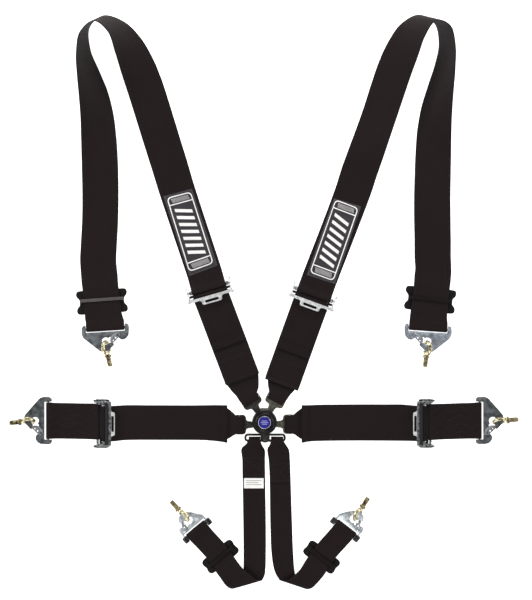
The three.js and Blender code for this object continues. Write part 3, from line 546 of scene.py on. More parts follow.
def revolve(profile, n=64, M=None, closed=False, flute=None):
    """profile: (r, z). r = 0 at an end closes it. flute(theta, r, z) -> r."""
    v, f = [], []
    rows = []
    for r, z in profile:
        if r <= 1e-9:
            rows.append([len(v)])
            v.append((0, 0, z))
        else:
            row = []
            for i in range(n):
                t = 2 * math.pi * i / n
                q = flute(t, r, z) if flute else r
                row.append(len(v))
                v.append((q * math.cos(t), q * math.sin(t), z))
            rows.append(row)
    pairs = list(zip(rows, rows[1:])) + ([(rows[-1], rows[0])] if closed else [])
    for a, b in pairs:
        for i in range(n):
            j = (i + 1) % n
            if len(a) == 1 and len(b) == 1:
                continue
            if len(a) == 1:
                f.append((a[0], b[i], b[j]))
            elif len(b) == 1:
                f.append((a[i], a[j], b[0]))
            else:
                f.append((a[i], a[j], b[j], b[i]))
    return mesh_of(v, f, M)


ALONG_X = Matrix(((0, 0, 1, 0), (0, 1, 0, 0), (-1, 0, 0, 0), (0, 0, 0, 1)))   # lathe axis z -> x
ACROSS = Matrix(((1, 0, 0, 0), (0, 0, 1, 0), (0, -1, 0, 0), (0, 0, 0, 1)))    # lathe axis z -> y


def rod(r, l0, l1, ch=0.5, n=28, M=None, flute=None, rows=2):
    pr = [(0, l0), (r - ch, l0), (r, l0 + ch)]
    pr += [(r, l0 + ch + (l1 - l0 - 2 * ch) * i / rows) for i in range(1, rows)]
    pr += [(r, l1 - ch), (r - ch, l1), (0, l1)]
    return revolve(pr, n, M, flute=flute)


def box(a0, a1, c0, c1, z0, z1, bev=0.5, M=None):
    return plate(rounded(rect(a0, a1, c0, c1), bev, 3), [], z0, z1, bev * 0.7, M)


def assemble(name, parts, mat, M=None, body=None, nodes=(), smooth=True, sharp=35, slot=None):
    """Joins meshes (or (mesh, material) pairs) into one object."""
    bm = bmesh.new()
    mats = [mat]
    for p in parts:
        me, mm = p if isinstance(p, tuple) else (p, mat)
        if mm not in mats:
            mats.append(mm)
        k = mats.index(mm)
        n0 = len(bm.faces)
        bm.from_mesh(me)
        bm.faces.ensure_lookup_table()
        for face in bm.faces[n0:]:
            face.material_index = k
        bpy.data.meshes.remove(me)
    if M is not None:
        bm.transform(scale_m(M))
    bmesh.ops.recalc_face_normals(bm, faces=bm.faces)
    me = bpy.data.meshes.new(name)
    bm.to_mesh(me)
    bm.free()
    for mm in mats:
        me.materials.append(mm)
    if smooth:
        me.polygons.foreach_set('use_smooth', [True] * len(me.polygons))
        me.set_sharp_from_angle(angle=rad(sharp))
    o = bpy.data.objects.new(name, me)
    bpy.context.collection.objects.link(o)
    if nodes:
        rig.replaces(o, *nodes)
    if slot:
        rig.slot(o, slot)
    if body:
        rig.ride(o, body)
    return o


# ------------------------------------------------------------------ webbing
class Ribbon:
    """Webbing through stations of its two edges (mid-thickness), resampled evenly, with its own thickness."""

    def __init__(self, st, step=4.0, thick=1.5, straight=()):
        e1 = np.array([s[0] for s in st], float)
        e2 = np.array([s[1] for s in st], float)
        mid = (e1 + e2) / 2
        k = np.sqrt(np.maximum(np.linalg.norm(np.diff(mid, axis=0), axis=1), 1e-3))
        T = np.r_[0, np.cumsum(k)]
        t = np.concatenate([np.linspace(T[i], T[i + 1], max(3, int(k[i] ** 2 / 0.6)), endpoint=False) for i in range(len(k))] + [[T[-1]]])
        E1, E2 = self.spline(T, e1, t), self.spline(T, e2, t)
        C = (E1 + E2) / 2
        tan = np.gradient(C, axis=0)
        tan /= np.linalg.norm(tan, axis=1)[:, None] + 1e-12
        keep = [0]
        for i in range(1, len(C) - 1):
            j = keep[-1]
            dist = np.linalg.norm(C[i] - C[j])
            turn = math.acos(max(-1, min(1, float(tan[i] @ tan[j]))))
            if dist >= step or (turn > rad(9) and dist > 0.5):
                keep.append(i)
        keep.append(len(C) - 1)
        E1, E2 = E1[keep], E2[keep]
        C = (E1 + E2) / 2
        self.E1, self.E2, self.C = E1, E2, C
        self.s = np.r_[0, np.cumsum(np.linalg.norm(np.diff(C, axis=0), axis=1))]
        tan = np.gradient(C, axis=0)
        tan /= np.linalg.norm(tan, axis=1)[:, None] + 1e-12
        across = E2 - E1
        self.w = np.linalg.norm(across, axis=1) / 2
        self.x = across / (2 * self.w[:, None])
        n = np.cross(tan, self.x)
        self.n = n / (np.linalg.norm(n, axis=1)[:, None] + 1e-12)
        self.h = thick / 2
        self.length = float(self.s[-1])
        seg = np.linalg.norm(np.diff(C, axis=0), axis=1)
        self.area = float(np.sum(seg * (self.w[1:] + self.w[:-1])))

    @staticmethod
    def spline(T, P, t):
        m = np.zeros_like(P)
        for i in range(len(P)):
            a, b = max(i - 1, 0), min(i + 1, len(P) - 1)
            if 0 < i < len(P) - 1:
                h0, h1 = T[i] - T[i - 1], T[i + 1] - T[i]
                d0, d1 = (P[i] - P[i - 1]) / h0, (P[i + 1] - P[i]) / h1
                m[i] = (d0 * h1 + d1 * h0) / (h0 + h1)
            else:
                m[i] = (P[b] - P[a]) / (T[b] - T[a])
        j = np.clip(np.searchsorted(T, t, side='right') - 1, 0, len(T) - 2)
        h = (T[j + 1] - T[j])[:, None]
        u = ((t - T[j]) / (T[j + 1] - T[j]))[:, None]
        return ((2 * u**3 - 3 * u**2 + 1) * P[j] + (u**3 - 2 * u**2 + u) * h * m[j] + (-2 * u**3 + 3 * u**2) * P[j + 1] + (u**3 - u**2) * h * m[j + 1])

    def point(self, lat, s, lift):
        """lat in mm from the middle towards edge 2, s along, lift above the face on the normal's side."""
        c = np.array([np.interp(s, self.s, self.C[:, k]) for k in range(3)])
        x = np.array([np.interp(s, self.s, self.x[:, k]) for k in range(3)])
        n = np.array([np.interp(s, self.s, self.n[:, k]) for k in range(3)])
        n /= np.linalg.norm(n)
        return c + x * lat + n * lift, n

    def build(self, name, mat, nu=14, ripple=0.12, seed=1.0, shade=()):
        h = self.h
        SH = []
        ring = []                                     # (side, k across, lateral offset from the edge, height)
        for i in range(nu + 1):
            ring.append((2 * i / nu - 1, 0.0, 1.0))
        for d in (45, 0, -45):
            ring.append((1.0, d, None))
        for i in range(nu, -1, -1):
            ring.append((2 * i / nu - 1, 0.0, -1.0))
        for d in (-45, 0, 45):
            ring.append((-1.0, d, None))
        V, UV, ED = [], [], []
        for i in range(len(self.C)):
            w = self.w[i]
            inner = w - h
            s = self.s[i]
            for q, d, side in ring:
                if side is None:
                    sg = 1 if q > 0 else -1
                    lat = sg * (inner + h * math.cos(rad(d)))
                    z = h * math.sin(rad(d)) * 0.9
                else:
                    lat = q * inner
                    z = side * h * (1 - 0.1 * abs(q) ** 8)
                rp = ripple * (math.sin(s * 0.045 + 1.7 * seed + 1.3 * q) + 0.5 * math.sin(s * 0.11 + 4.1 * seed - 2.2 * q))
                V.append(self.C[i] + self.x[i] * lat + self.n[i] * (z + rp))
                UV.append((lat * MM + 1.0, s * MM))
                ED.append(((w - abs(lat)) * MM, 0 if side is None else side))
                SH.append((min(1.0, sum(k * math.exp(-((s - c) / u) ** 2) for c, u, k in shade)), 0.0))
        m = len(ring)
        F = []
        for i in range(len(self.C) - 1):
            for j in range(m):
                k = (j + 1) % m
                F.append((i * m + j, i * m + k, (i + 1) * m + k, (i + 1) * m + j))
        F.append(tuple(range(m))[::-1])
        F.append(tuple((len(self.C) - 1) * m + j for j in range(m)))
        return to_object(name, V, F, mat, UV, ED, sharp=50, shade=SH)


STITCH_N = 6


def stitches(name, lines, mat, body, r=0.33, pitch=3.4, length=2.5):
    """lines: lists of (point, normal) along each row of sewing; makes small rounded threads."""
    V, F = [], []
    for line in lines:
        P = np.array([p for p, _ in line], float)
        N = np.array([n for _, n in line], float)
        s = np.r_[0, np.cumsum(np.linalg.norm(np.diff(P, axis=0), axis=1))]
        count = max(1, int(s[-1] / pitch))
        for i in range(count):
            m = (i + 0.5) * s[-1] / count
            pts = []
            for q in (-0.5, -0.34, 0, 0.34, 0.5):
                x = min(max(m + q * length, 0), s[-1])
                pts.append([np.interp(x, s, P[:, k]) for k in range(3)])
            pts = np.array(pts)
            n = np.array([np.interp(m, s, N[:, k]) for k in range(3)])
            n /= np.linalg.norm(n)
            t = pts[-1] - pts[0]
            L = np.linalg.norm(t)
            if L < 0.4:
                continue
            t /= L
            b = np.cross(n, t)
            base = len(V)
            for k, (sc, lift) in enumerate(((0.25, -0.25), (0.85, 0.02), (1.0, 0.14), (0.85, 0.02), (0.25, -0.25))):
                for j in range(STITCH_N):
                    a = 2 * math.pi * j / STITCH_N
                    V.append(pts[k] + b * (r * sc * math.cos(a)) + n * (r * sc * math.sin(a) * 0.8 + lift))
            for k in range(4):
                for j in range(STITCH_N):
                    l = (j + 1) % STITCH_N
                    F.append((base + k * STITCH_N + j, base + k * STITCH_N + l, base + (k + 1) * STITCH_N + l, base + (k + 1) * STITCH_N + j))
            F.append(tuple(base + j for j in range(STITCH_N))[::-1])
            F.append(tuple(base + 4 * STITCH_N + j for j in range(STITCH_N)))
    o = to_object(name, V, F, mat, sharp=80)
    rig.ride(o, body)
    return o


def sew(rib, pts, lift_side=1):
    """A row of sewing through (lateral, s) points on a ribbon's face."""
    out = []
    for (l0, s0), (l1, s1) in zip(pts, pts[1:]):
        L = math.hypot(l1 - l0, s1 - s0)
        n = max(2, int(L / 2.0))
        for i in range(n + (1 if (l1, s1) == pts[-1] else 0)):
            u = i / n
            p, nr = rib.point(l0 + (l1 - l0) * u, s0 + (s1 - s0) * u, lift_side * (rib.h + 0.12))
            out.append((p, nr * lift_side))
    return out


def pair(f, a, z, half, c=0.0):
    return (at(f, a, c + half, z), at(f, a, c - half, z))


def wrap(f, a, z, r, half, d0, d1, n, c=0.0):
    """Stations round a bar at (a, z), turning from angle d0 to d1 in the (a, z) plane."""
    out = []
    for i in range(n + 1):
        t = rad(d0 + (d1 - d0) * i / n)
        out.append(pair(f, a + r * math.cos(t), z + r * math.sin(t), half, c))
    return out


def web(name, st, body, nodes, width, held='laid', rests=(), seed=1.0, step=4.0, thick=1.5, ripple=0.12, shade=(), turns=None):
    """shade: (place, spread, depth) of the dark soiled lines where another layer steps down, places below 0 counted from the far end."""
    rib = Ribbon(st, step=step, thick=thick)
    o = rib.build(name, WEB, seed=seed, ripple=ripple, shade=[(c if c >= 0 else rib.length + c, u, k) for c, u, k in shade])
    if nodes:
        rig.replaces(o, *nodes)
    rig.slot(o, 'webbing')
    if turns:                     # held by the tongue up to the bar, then lifting with the strap
        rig.blend(o, 'buckle', body, turns[0] * MM, turns[1] * MM)
    else:
        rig.ride(o, body)
    L = rib.length * MM
    area = min(rib.area * MM * MM, width * MM * L)
    LATE.append(lambda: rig.sheet(o, flat=(width * MM, L), held=held, rests_on=list(rests), area=area, with_pieces=[p for p in PIECES.get(name, [])]))
    SHEETS[name] = (width, rib.length)
    return o, rib


SHEETS = {}
PIECES = {}
W3, W2 = 37.5, 24.0

# lower lengths of the shoulder straps
for side, heading in (('left', 110.2), ('right', 69.9)):
    k = 'shoulder_' + side
    tf, af = TONGUE[k], ADJ[k]
    body = 'web_lower_' + k
    t0 = at(tf, BAR_A, 0, 0)
    a0 = at(af, -10, 0, 0)
    sf = (t0[0], t0[1], heading)
    u = direction(heading)
    dist = float((a0 - t0) @ u)
    off = float((a0 - t0) @ left(heading))

    def P(a, z, half, sf=sf, dist=dist, off=off):
        return pair(sf, a, z, half, off * max(0, min(1, a / dist)))
    tb = (at(tf, BAR_A, 0, 0)[0], at(tf, BAR_A, 0, 0)[1], tf[2])
    ab = (a0[0], a0[1], af[2])
    if side == 'left':
        st = [P(43, 3.7, W3), P(48, 3.7, W3), P(60, 3.5, W3)]
    else:
        st = [P(27.5, 6.2, 36.6), P(33, 5.1, 37.2), P(40, 4.2, W3), P(48, 3.8, W3), P(60, 3.5, W3)]
    st += [P(74, 3.0, W3), P(86, 2.4, W3), P(110, 2.35, W3), P(dist - 60, 2.35, W3),
          P(dist - 34, 2.6, W3), P(dist - 16, 5.4, W3)]
    st += wrap(ab, 0, 4.6, 3.8, W3, 100, -100, 8)
    st += [P(dist - 14, 0.95, W3), P(dist - 50, 0.8, W3), P(90, 0.8, W3), P(52, 0.8, 36.5), P(40, 0.85, 34.5), P(28, 1.2, 30), P(15, 2.3, 25.0)]
    st += wrap(tb, 0, 7.25, 4.5, 17.8, -75, -185, 6)
    st += [pair(tb, -5.4, 9.0, 17.9), pair(tb, -8.2, 9.9, 17.6), pair(tb, -9.8, 10.9, 17.4), pair(tb, -8.6, 12.1, 17.8), pair(tb, -3.0, 12.6, 18.8), pair(tb, 5, 11.0, 21.0)]
    st += [P(14, 8.2, 24.5), P(24, 4.6, 29.0), P(36, 2.6, 33), P(48, 2.25, 35.5), P(66, 2.3, 36.5), P(78, 2.2, 36.5)]
    o, rib = web('webbing_lower_' + k, st, body, ['shoulder_web_lower_' + side], 75, rests=['tongue_' + k], seed=1.1 if side == 'left' else 2.3,
                 shade=[(-39.5, 3.4, 1.0), (dist - 157.5, 2.2, 0.8)] if side == 'left' else [(-55, 3.4, 1.0), (dist - 145.6, 2.2, 0.8)],
                 turns=(at(tb, -2, 0, 7.25), at(tb, 12, 0, 7.25)))
    L = []
    for lat in (-34.5, 34.5):
        L.append(sew(rib, [(lat, 2.5), (lat, 48)], -1))
    for s0 in (3.0, 6.0, 48, 51):
        L.append(sew(rib, [(-34.5, s0), (34.5, s0)], -1))
    stitches('sewing_lower_' + k, L, THREAD, body)

    # free tail on top of the lower length
    slack = 0.0 if side == 'left' else 3.4

    def Q(s, z, half=37.0, sf=sf, dist=dist, off=off, slack=slack):
        a = dist - s - (slack if s > 60 else 0)
        return pair(sf, a, z, half, off * max(0, min(1, a / dist)))
    st = [pair(af, -1.0, 10.4, 36.5), pair(af, -6, 10.55, 36.5), pair(af, -12, 10.45, 36.6), pair(af, -18, 8.9, 36.8), Q(18, 6.3), Q(30, 4.6), Q(60, 4.35), Q(93, 4.3), Q(105.8, 4.35), Q(109.8, 4.6)]
    body = 'adjuster_' + k
    o, rib = web('webbing_tail_' + k, st, body, ['shoulder_tail_' + side], 74, rests=['webbing_lower_' + k], seed=3.1 if side == 'left' else 4.3)
    # turned hem at the free end
    st = [Q(92.3, 5.7), Q(99.3, 5.75), Q(106.3, 5.75), Q(110.5, 5.4), Q(111.5, 4.7), Q(110.7, 4.2)]
    o, rib2 = web('hem_tail_' + k, st, body, [], 74, rests=['webbing_tail_' + k], seed=3.6, thick=1.2, ripple=0.05)
    stitches('sewing_tail_' + k, [sew(rib2, [(-34.5, 2.4), (34.5, 2.4)], -1), sew(rib2, [(-34.5, 5.2), (34.5, 5.2)], -1), sew(rib2, [(-34.5, 11.5), (34.5, 11.5)], -1)], THREAD, body)

# upper lengths, with the standing loops
for side, loop, s in (('left', LOOP_L, 1), ('right', LOOP_R, -1)):
    k = 'shoulder_' + side
    af, sl, hk = ADJ[k], SLIDE[k], HOOK[k]
    body = 'web_upper_' + k

    def A(a, z, half=37.0, af=af, s=s):
        return (at(af, a, half * s, z), at(af, a, -half * s, z))
    st = []
    for d in (250, 215, 180, 150, 120, 95):       # round the roller, from under it
        t = rad(d)
        st.append(A(6 + 5.2 * math.cos(t), 6.4 + 5.2 * math.sin(t)))
    st += [A(9.5, 10.9), A(14, 6.9), A(20, 3.2), A(28, 1.25), A(38, 0.85)]
    for r in loop:
        p1, p2 = np.array(r[3:6], float), np.array(r[0:3], float)
        nz = abs(np.cross(p2 - p1, [0, 0, 1])[0:2]).max() / 76
        lift = 0.85
        p1[2] += lift
        p2[2] += lift
        st.append((p1, p2))
    fa = (sl[0], sl[1], sl[2])

    def B(f, a, z, half=W3, s=s):
        d = left(f[2])
        m = at(f, a, 0, z)
        return (m - d * half * s, m + d * half * s)
    st += [B(fa, -62, 0.95, 38.2), B(fa, -50, 1.9, 38.4), B(fa, -38, 4.4, 38.3), B(fa, -26, 5.1, 37.9), B(fa, 0, 5.15, 37.8), B(fa, 24, 5.15, 38.0), B(fa, 36, 5.6, 39.0)]
    hb = at(hk, -6, 0, 0)
    hf = (hb[0], hb[1], hk[2])
    st += [B(hf, -15, 6.9, 40.1), B(hf, -8.5, 9.1, 40.1)]
    for d in range(100, -101, -20):
        st.append(B(hf, -0.3 + 4.5 * math.cos(rad(d)), 5.3 + 4.5 * math.sin(rad(d)), 39.8))
    st += [B(hf, -9, 1.7, 39.8), B(hf, -16, 3.1, 39.8), B(fa, 34, 3.55, 39.0), B(fa, 10, 3.6, 38.0), B(fa, -20, 3.6), B(fa, -24, 3.6)]
    o, rib = web('webbing_upper_' + k, st, body, ['shoulder_web_upper_' + side], 75, held='laid', rests=['roller_' + k], seed=5.0 if side == 'left' else 6.4, ripple=0.1)
    globals()['UP_' + side] = rib

# lap straps: main length with the tail doubled back on top, and the anchor length
for side, s, yT, yB in (('left', -1, 34.6, -39.2), ('right', 1, 35.9, -40.6)):
    k = 'lap_' + side
    tf, af, hk = TONGUE[k], ADJ[k], HOOK[k]
    body = 'web_main_' + k
    r0 = at(af, -3, 0, 0)
    rf = (r0[0], r0[1], af[2])
    t0 = at(tf, BAR_A, 0, 0)
    tb = (t0[0], t0[1], tf[2])
    ym, hw = (yT + yB) / 2, (yT - yB) / 2

    def X(x, y1, y2, z, s=s, z2=None):
        a, b = np.array([s * x, y1, z]), np.array([s * x, y2, z if z2 is None else z2])
        return (a, b) if s > 0 else (b, a)
    R0 = abs(r0[0])
    st = [X(79.5, 34.8, -44.6, 4.2, z2=4.9), X(86, 34.6, -43.0, 4.05, z2=4.5), X(98, 34.9, -41.4, 3.6), X(125, yT, yB, 2.6), X(200, yT - 0.8, yB + 0.6, 2.4), X(R0 - 40, yT, yB, 2.5)]
    st += [(lambda p: p)(pair(rf, -22, 4.2, 37.0)), pair(rf, -11, 8.4, 37.0)]
    st += wrap(rf, 0, 6, 5.2, 37.0, 118, -100, 10)
    st += [pair(rf, -12, 0.85, 37.0), X(R0 - 40, yT - 0.5, yB + 0.5, 0.8), X(120, yT - 0.6, yB + 0.6, 0.8), X(100, 34, -41.5, 0.8), X(88, 31.5, -40, 0.85), X(78, 28, -37, 1.0), X(70, 22.5, -32.5, 1.7)]
    st += wrap(tb, 0, 7.25, 4.5, 17.8, -78, -185, 6)
    st += [pair(tb, -5.4, 8.9, 17.9), pair(tb, -9.5, 9.7, 17.7), pair(tb, -13.6, 10.0, 17.2), pair(tb, -15.4, 11.0, 17.0), pair(tb, -13.8, 12.1, 17.3), pair(tb, -6.0, 12.7, 18.6), pair(tb, 4, 11.2, 20.6)]
    st += [X(70, 21, -31.5, 8.3), X(79, 27, -36.5, 4.6), X(90, 30.5, -39, 2.6), X(104, 33.2, -40, 2.35), X(118, 33.5, -40, 2.3)]
    # both laps run from the free end to the tongue; edges keep to one side
    o, rib = web('webbing_main_' + k, st, body, ['lap_web_main_' + side], 75, rests=['tongue_' + k], seed=7.2 if side == 'left' else 8.8, shade=[(-44.5, 3.0, 0.9)], turns=(at(tb, -2, 0, 7.25), at(tb, 12, 0, 7.25)))
    globals()['MAIN_' + side] = rib
    up = 1 if rib.n[3][2] > 0 else -1
    L = [sew(rib, [(-36, 3.0), (36, 3.0)], up), sew(rib, [(-36, 6.0), (36, 6.0)], up), sew(rib, [(-36, 13), (36, 13)], up)]
    stitches('sewing_main_' + k, L, THREAD, body)
    st = [X(93, 34.4, -41.6, 5.2), X(87, 34.4, -42.6, 5.6), X(81.5, 34.5, -44.2, 5.7), X(78.6, 34.6, -44.6, 5.1), X(78.2, 34.6, -44.6, 4.5)]
    web('hem_main_' + k, st, body, [], 78, rests=['webbing_main_' + k], seed=7.9, thick=1.1, ripple=0.04)

    # anchor length, sewn to itself with W zigzags
    f0 = at(af, 12, 0, 0)
    ff = (f0[0], f0[1], af[2])
    hb = at(hk, -6, 0, 0)
    hf = (hb[0], hb[1], hk[2])
    span = abs(hb[0]) - abs(f0[0])
    body = 'web_anchor_' + k
    yc = (f0[1] + hb[1]) / 2

    drift = 4.4 if side == 'left' else 3.0      # the webbing lies to one side of the frame

    def F(a, z, half=37.6, ff=ff, hb=hb, s=s, f0=f0, span=span, drift=drift):
        return pair(ff, a, z, half, (hb[1] - f0[1]) * s * a / span + drift * s * (1 - a / span))
    st = [F(44, 0.8), F(70, 0.8), F(span - 14, 0.95)]
    st += wrap(hf, -1.8, 5.3, 4.5, 38.2, -105, 105, 10)
    st += [F(span - 12, 7.2), F(span - 24, 3.2), F(span - 38, 2.45), F(40, 2.4), F(24, 2.5), F(12, 5.2)]
    st += wrap(ff, 0, 5, 3.8, 37.4, 78, 280, 10, c=drift * s)
    st += [F(10, 1.0), F(22, 0.8), F(41, 0.8)]
    o, rib = web('webbing_anchor_' + k, st, body, ['lap_web_anchor_' + side], 75, rests=['hook_' + k], seed=9.1 if side == 'left' else 9.9)
    globals()['ANCH_' + side] = rib
    top = [i for i in range(len(rib.C)) if 1.9 < rib.C[i][2] < 3.4]
    smin, smax = rib.s[min(top)], rib.s[max(top)]
    up = 1 if rib.n[top[len(top) // 2]][2] > 0 else -1
    lo, hi = smin + 6, smax - 8
    rows = []
    for o_ in (-30.5, -13.5, 3.5, 20.5):
        z = []
        n = 5
        for i in range(n + 1):
            z.append((o_ + (0 if i % 2 == 0 else 11), lo + (hi - lo) * i / n))
        rows.append(sew(rib, z, up))
    for lat in (-34.5, 34.5):
        rows.append(sew(rib, [(lat, lo - 3), (lat, hi + 3)], up))
    rows.append(sew(rib, [(-34.5, lo - 3), (34.5, lo - 3)], up))
    rows.append(sew(rib, [(-34.5, hi + 3), (34.5, hi + 3)], up))
    stitches('sewing_anchor_' + k, rows, THREAD_ANCHOR, body, r=0.36)

# crotch straps
CROTCH = {
  'left': (-33.8, -10.7, [
    [-41,-47,4.2, -4,-48,4.2], [-48.2,-56,2.4, 0.4,-59,2.4], [-46.8,-80,0.4, 1,-80,0.4], [-46.2,-112,0, 1.3,-112,0],
    [-44.6,-217,0, 2.9,-217,0], [-44.1,-275,0, 2.9,-275,0], [-44.5,-312,0, 2.2,-308,0],
    [-48.5,-334,0.2, 0.4,-322,0.2], [-58,-345,1.4, -3.0,-329.5,1.4], [-65,-349.5,5.2, -6.2,-332.5,5.2],
    [-74,-348,9.0, -16,-331,9.0], [-84,-339,9.4, -28,-321,9.4], [-92.5,-327,8.4, -43,-309,9.4], [-103.5,-312,5.2, -58,-291,8.0]], 1),
  'right': (13.0, 37.4, [
    [10,-47,4.2, 46,-47,4.2], [6.2,-57,2.4, 51,-58,2.4], [8.6,-80,0.4, 53.4,-80,0.4], [10.5,-112,0, 54.6,-112,0],
    [12.2,-217,0, 58,-217,0], [14.5,-275,0, 60.2,-275,0], [18.9,-306,0, 63.4,-315,0],
    [24,-321,0.2, 69,-336,0.2], [29,-328.5,1.4, 79,-346.5,1.4], [32.4,-332,5.2, 88,-350.5,5.2],
    [45,-333,9.0, 99,-348,9.0], [62,-321,9.4, 110,-338,9.4], [75,-308,9.4, 119.5,-327.5,8.4], [85.5,-291,8.0, 129,-315,5.2]], -1)}
for side, (c0, c1, rows, s) in CROTCH.items():
    k = 'crotch_' + side
    tf, sl, hk = TONGUE['crotch'], SLIDE[k], HOOK[k]
    body = 'web_crotch_' + side
    b = at(tf, CROTCH_BAR_A, 0, 0)
    cx, half = tf[0] + (c0 + c1) / 2, (c1 - c0) / 2

    def Y(y, x1, x2, z):
        return (np.array([x1, y, z]), np.array([x2, y, z]))
    R = rows
    st = [Y(-116, R[3][0], R[3][3], 2.5), Y(-100, (R[2][0] + R[3][0]) / 2, (R[2][3] + R[3][3]) / 2, 2.45), Y(-80, R[2][0] + 0.3, R[2][3] - 0.3, 2.6),
          (np.array([R[1][0] + 1.5, R[1][1] - 6, 3.8]), np.array([R[1][3] - 1.5, R[1][4] - 6, 3.8])),
          (np.array([R[0][0] + 3, R[0][1] - 2, 7.4]), np.array([R[0][3] - 3, R[0][4] - 2, 7.4]))]
    if side == 'right':           # this one's sewn end lies lower
        st[0] = Y(-129, R[3][0] + 0.3, R[3][3] + 0.5, 2.5)
        st[1] = Y(-112, R[3][0] + 0.2, R[3][3] - 0.2, 2.45)
    for d in range(80, -81, -20):
        t = rad(d)
        st.append(Y(b[1] + 7.7 * math.cos(t), cx - half - 0.7, cx + half + 0.7, 7.25 + 4.4 * math.sin(t)))
    st += [(np.array([R[0][0] + 1.5, R[0][1] - 1, 2.6]), np.array([R[0][3] - 1.5, R[0][4] - 1, 2.6])),
           (np.array([R[1][0], R[1][1], 1.2]), np.array([R[1][3], R[1][4], 1.2])),
           Y(-80, R[2][0], R[2][3], 0.8), Y(-112, R[3][0], R[3][3], 0.8), Y(-217, R[4][0], R[4][3], 0.8), Y(-275, R[5][0], R[5][3], 0.8)]
    for r in rows[6:]:
        st.append((np.array(r[:3], float) + (0, 0, 0.85), np.array(r[3:6], float) + (0, 0, 0.85)))
    fa = (sl[0], sl[1], sl[2])

    def B(f, a, z, h=W2):
        d = left(f[2])
        m = at(f, a, 0, z)
        return (m + d * h, m - d * h)
    st += [B(fa, -11, 5.1, W2 - 0.8), B(fa, 0, 5.1, W2 - 0.6), B(fa, 22, 5.2)]
    hb = at(hk, -6, 0, 0)
    hf = (hb[0], hb[1], hk[2])
    st += [B(hf, -18, 7.2), B(hf, -8, 11.2)]
    for d in range(100, -101, -20):
        st.append(B(hf, 5.8 * math.cos(rad(d)), 6.6 + 5.8 * math.sin(rad(d)), W2 - 0.3))
    st += [B(hf, -9, 1.5), B(hf, -18, 3.0), B(fa, 20, 3.6), B(fa, 0, 3.55), B(fa, -8, 3.6)]
    o, rib = web('webbing_' + k, st, body, ['crotch_web_' + side], 50, rests=['tongue_crotch'], seed=10.3 if side == 'left' else 11.7, ripple=0.08)
    globals()['CR_' + side] = rib
    up = 1 if rib.n[2][2] > 0 else -1
    L = [sew(rib, [(-20.5, 2.6), (20.5, 2.6)], up), sew(rib, [(-20.5, 5.4), (20.5, 5.4)], up), sew(rib, [(-20.5, 40), (20.5, 40)], up)]
    L += [sew(rib, [(q, 2.6), (q, 40)], up) for q in (-20.5, 20.5)]
    L.append(sew(rib, [(-20.5, 6), (20.5, 40)], up))
    L.append(sew(rib, [(20.5, 6), (-20.5, 40)], up))
    stitches('sewing_' + k, L, THREAD, body)

# ------------------------------------------------------------------ buckle
P_BUCKLE = []
ears = rounded([(-9, -28.5, 3), (9, -28.5, 3)] + [(p[0], p[1], 0) for p in arc(0, 0, 25, -66, 66, 40)] + [(9, 28.5, 3), (-9, 28.5, 3)] + [(p[0], p[1], 0) for p in arc(0, 0, 25, 114, 246, 40)], 3)
assemble('back_plate_metal', [plate(ears, [circle(0, 23.6, 2.1, 24), circle(0, -23.6, 2.1, 24)], 0, 2.2, 0.5),
                              revolve([(0, 2.2), (1.9, 2.2), (1.9, 2.6), (1.2, 2.95), (0, 3.0)], 20, Matrix.Translation((18, 9, 0)))],
         GUN, body='buckle', nodes=['buckle_back_plate'], slot='gunmetal')
# housing: floor, five wedges between the tongue slots, and the upper ring
parts = [revolve([(0, 2.6), (24.6, 2.6), (25.6, 3.1), (26, 4.0), (26, 5.6), (0, 5.6)], 96)]
slots = []
for k, f in TONGUE.items():
    slots.append((f[2], f))
slots.sort(key=lambda q: q[0])


def edge_hit(f, side, r):
    """Where the slot's edge meets radius r."""
    d, l = direction(f[2]), left(f[2])
    o = np.array([f[0], f[1], 0]) + l * side * 7.7
    b = o @ d
    c = o @ o - r * r
    return o + d * (-b + math.sqrt(b * b - c))


for i in range(5):
    fa, fb = slots[i][1], slots[(i + 1) % 5][1]
    pa, pb = edge_hit(fa, 1, 25.9), edge_hit(fb, -1, 25.9)
    ta, tb_ = math.degrees(math.atan2(pa[1], pa[0])), math.degrees(math.atan2(pb[1], pb[0]))
    if tb_ < ta:
        tb_ += 360
    da, db = direction(fa[2]), direction(fb[2])
    oa = np.array([fa[0], fa[1], 0]) + left(fa[2]) * 7.7
    ob = np.array([fb[0], fb[1], 0]) - left(fb[2]) * 7.7
    M2 = np.array([[da[0], -db[0]], [da[1], -db[1]]])
    s_, t_ = np.linalg.solve(M2, (ob - oa)[:2])
    inner = oa + da * s_
    if s_ > 24 or np.linalg.norm(inner[:2]) < 9:
        ia, ib = edge_hit(fa, 1, 12.5), edge_hit(fb, -1, 12.5)
        mid_pts = [(ib[0], ib[1]), (ia[0], ia[1])]
    else:
        mid_pts = [(inner[0], inner[1])]
    outer = [(p[0], p[1]) for p in arc(0, 0, 25.9, ta, tb_, 22)]
    parts.append(plate(outer + mid_pts, [], 5.3, 9.4, 0.25))
parts.append(revolve([(0, 9.1), (26, 9.1), (26, 12.2), (25.4, 12.6), (25.4, 13.4), (26, 13.8), (26, 14.9), (25.5, 15.7), (24.6, 16.0), (18, 16.0), (0, 16.0)], 96))
assemble('buckle_housing', parts, BLACK, body='buckle', nodes=['buckle_body', 'buckle_spindle'], slot='black_plastic')

assemble('locking_plate', [revolve([(4.6, 16.02), (17.8, 16.02), (17.8, 16.3), (4.6, 16.3)], 64, closed=True)] +
         [revolve([(0, 5.6), (1.7, 5.6), (2, 5.9), (2, 9.6), (0, 9.6)], 20, place(*at(TONGUE[k], 15.2, 0, 0)[:2], 0, 0)) for k in TONGUE],
         GUN, body='lock', nodes=['lock_plate'], slot='gunmetal')


def grip(t, r, z):
    if r < 24.4 or z < 16.9:
        return r
    return r - 0.55 * (0.5 - 0.5 * math.cos(32 * t)) ** 2


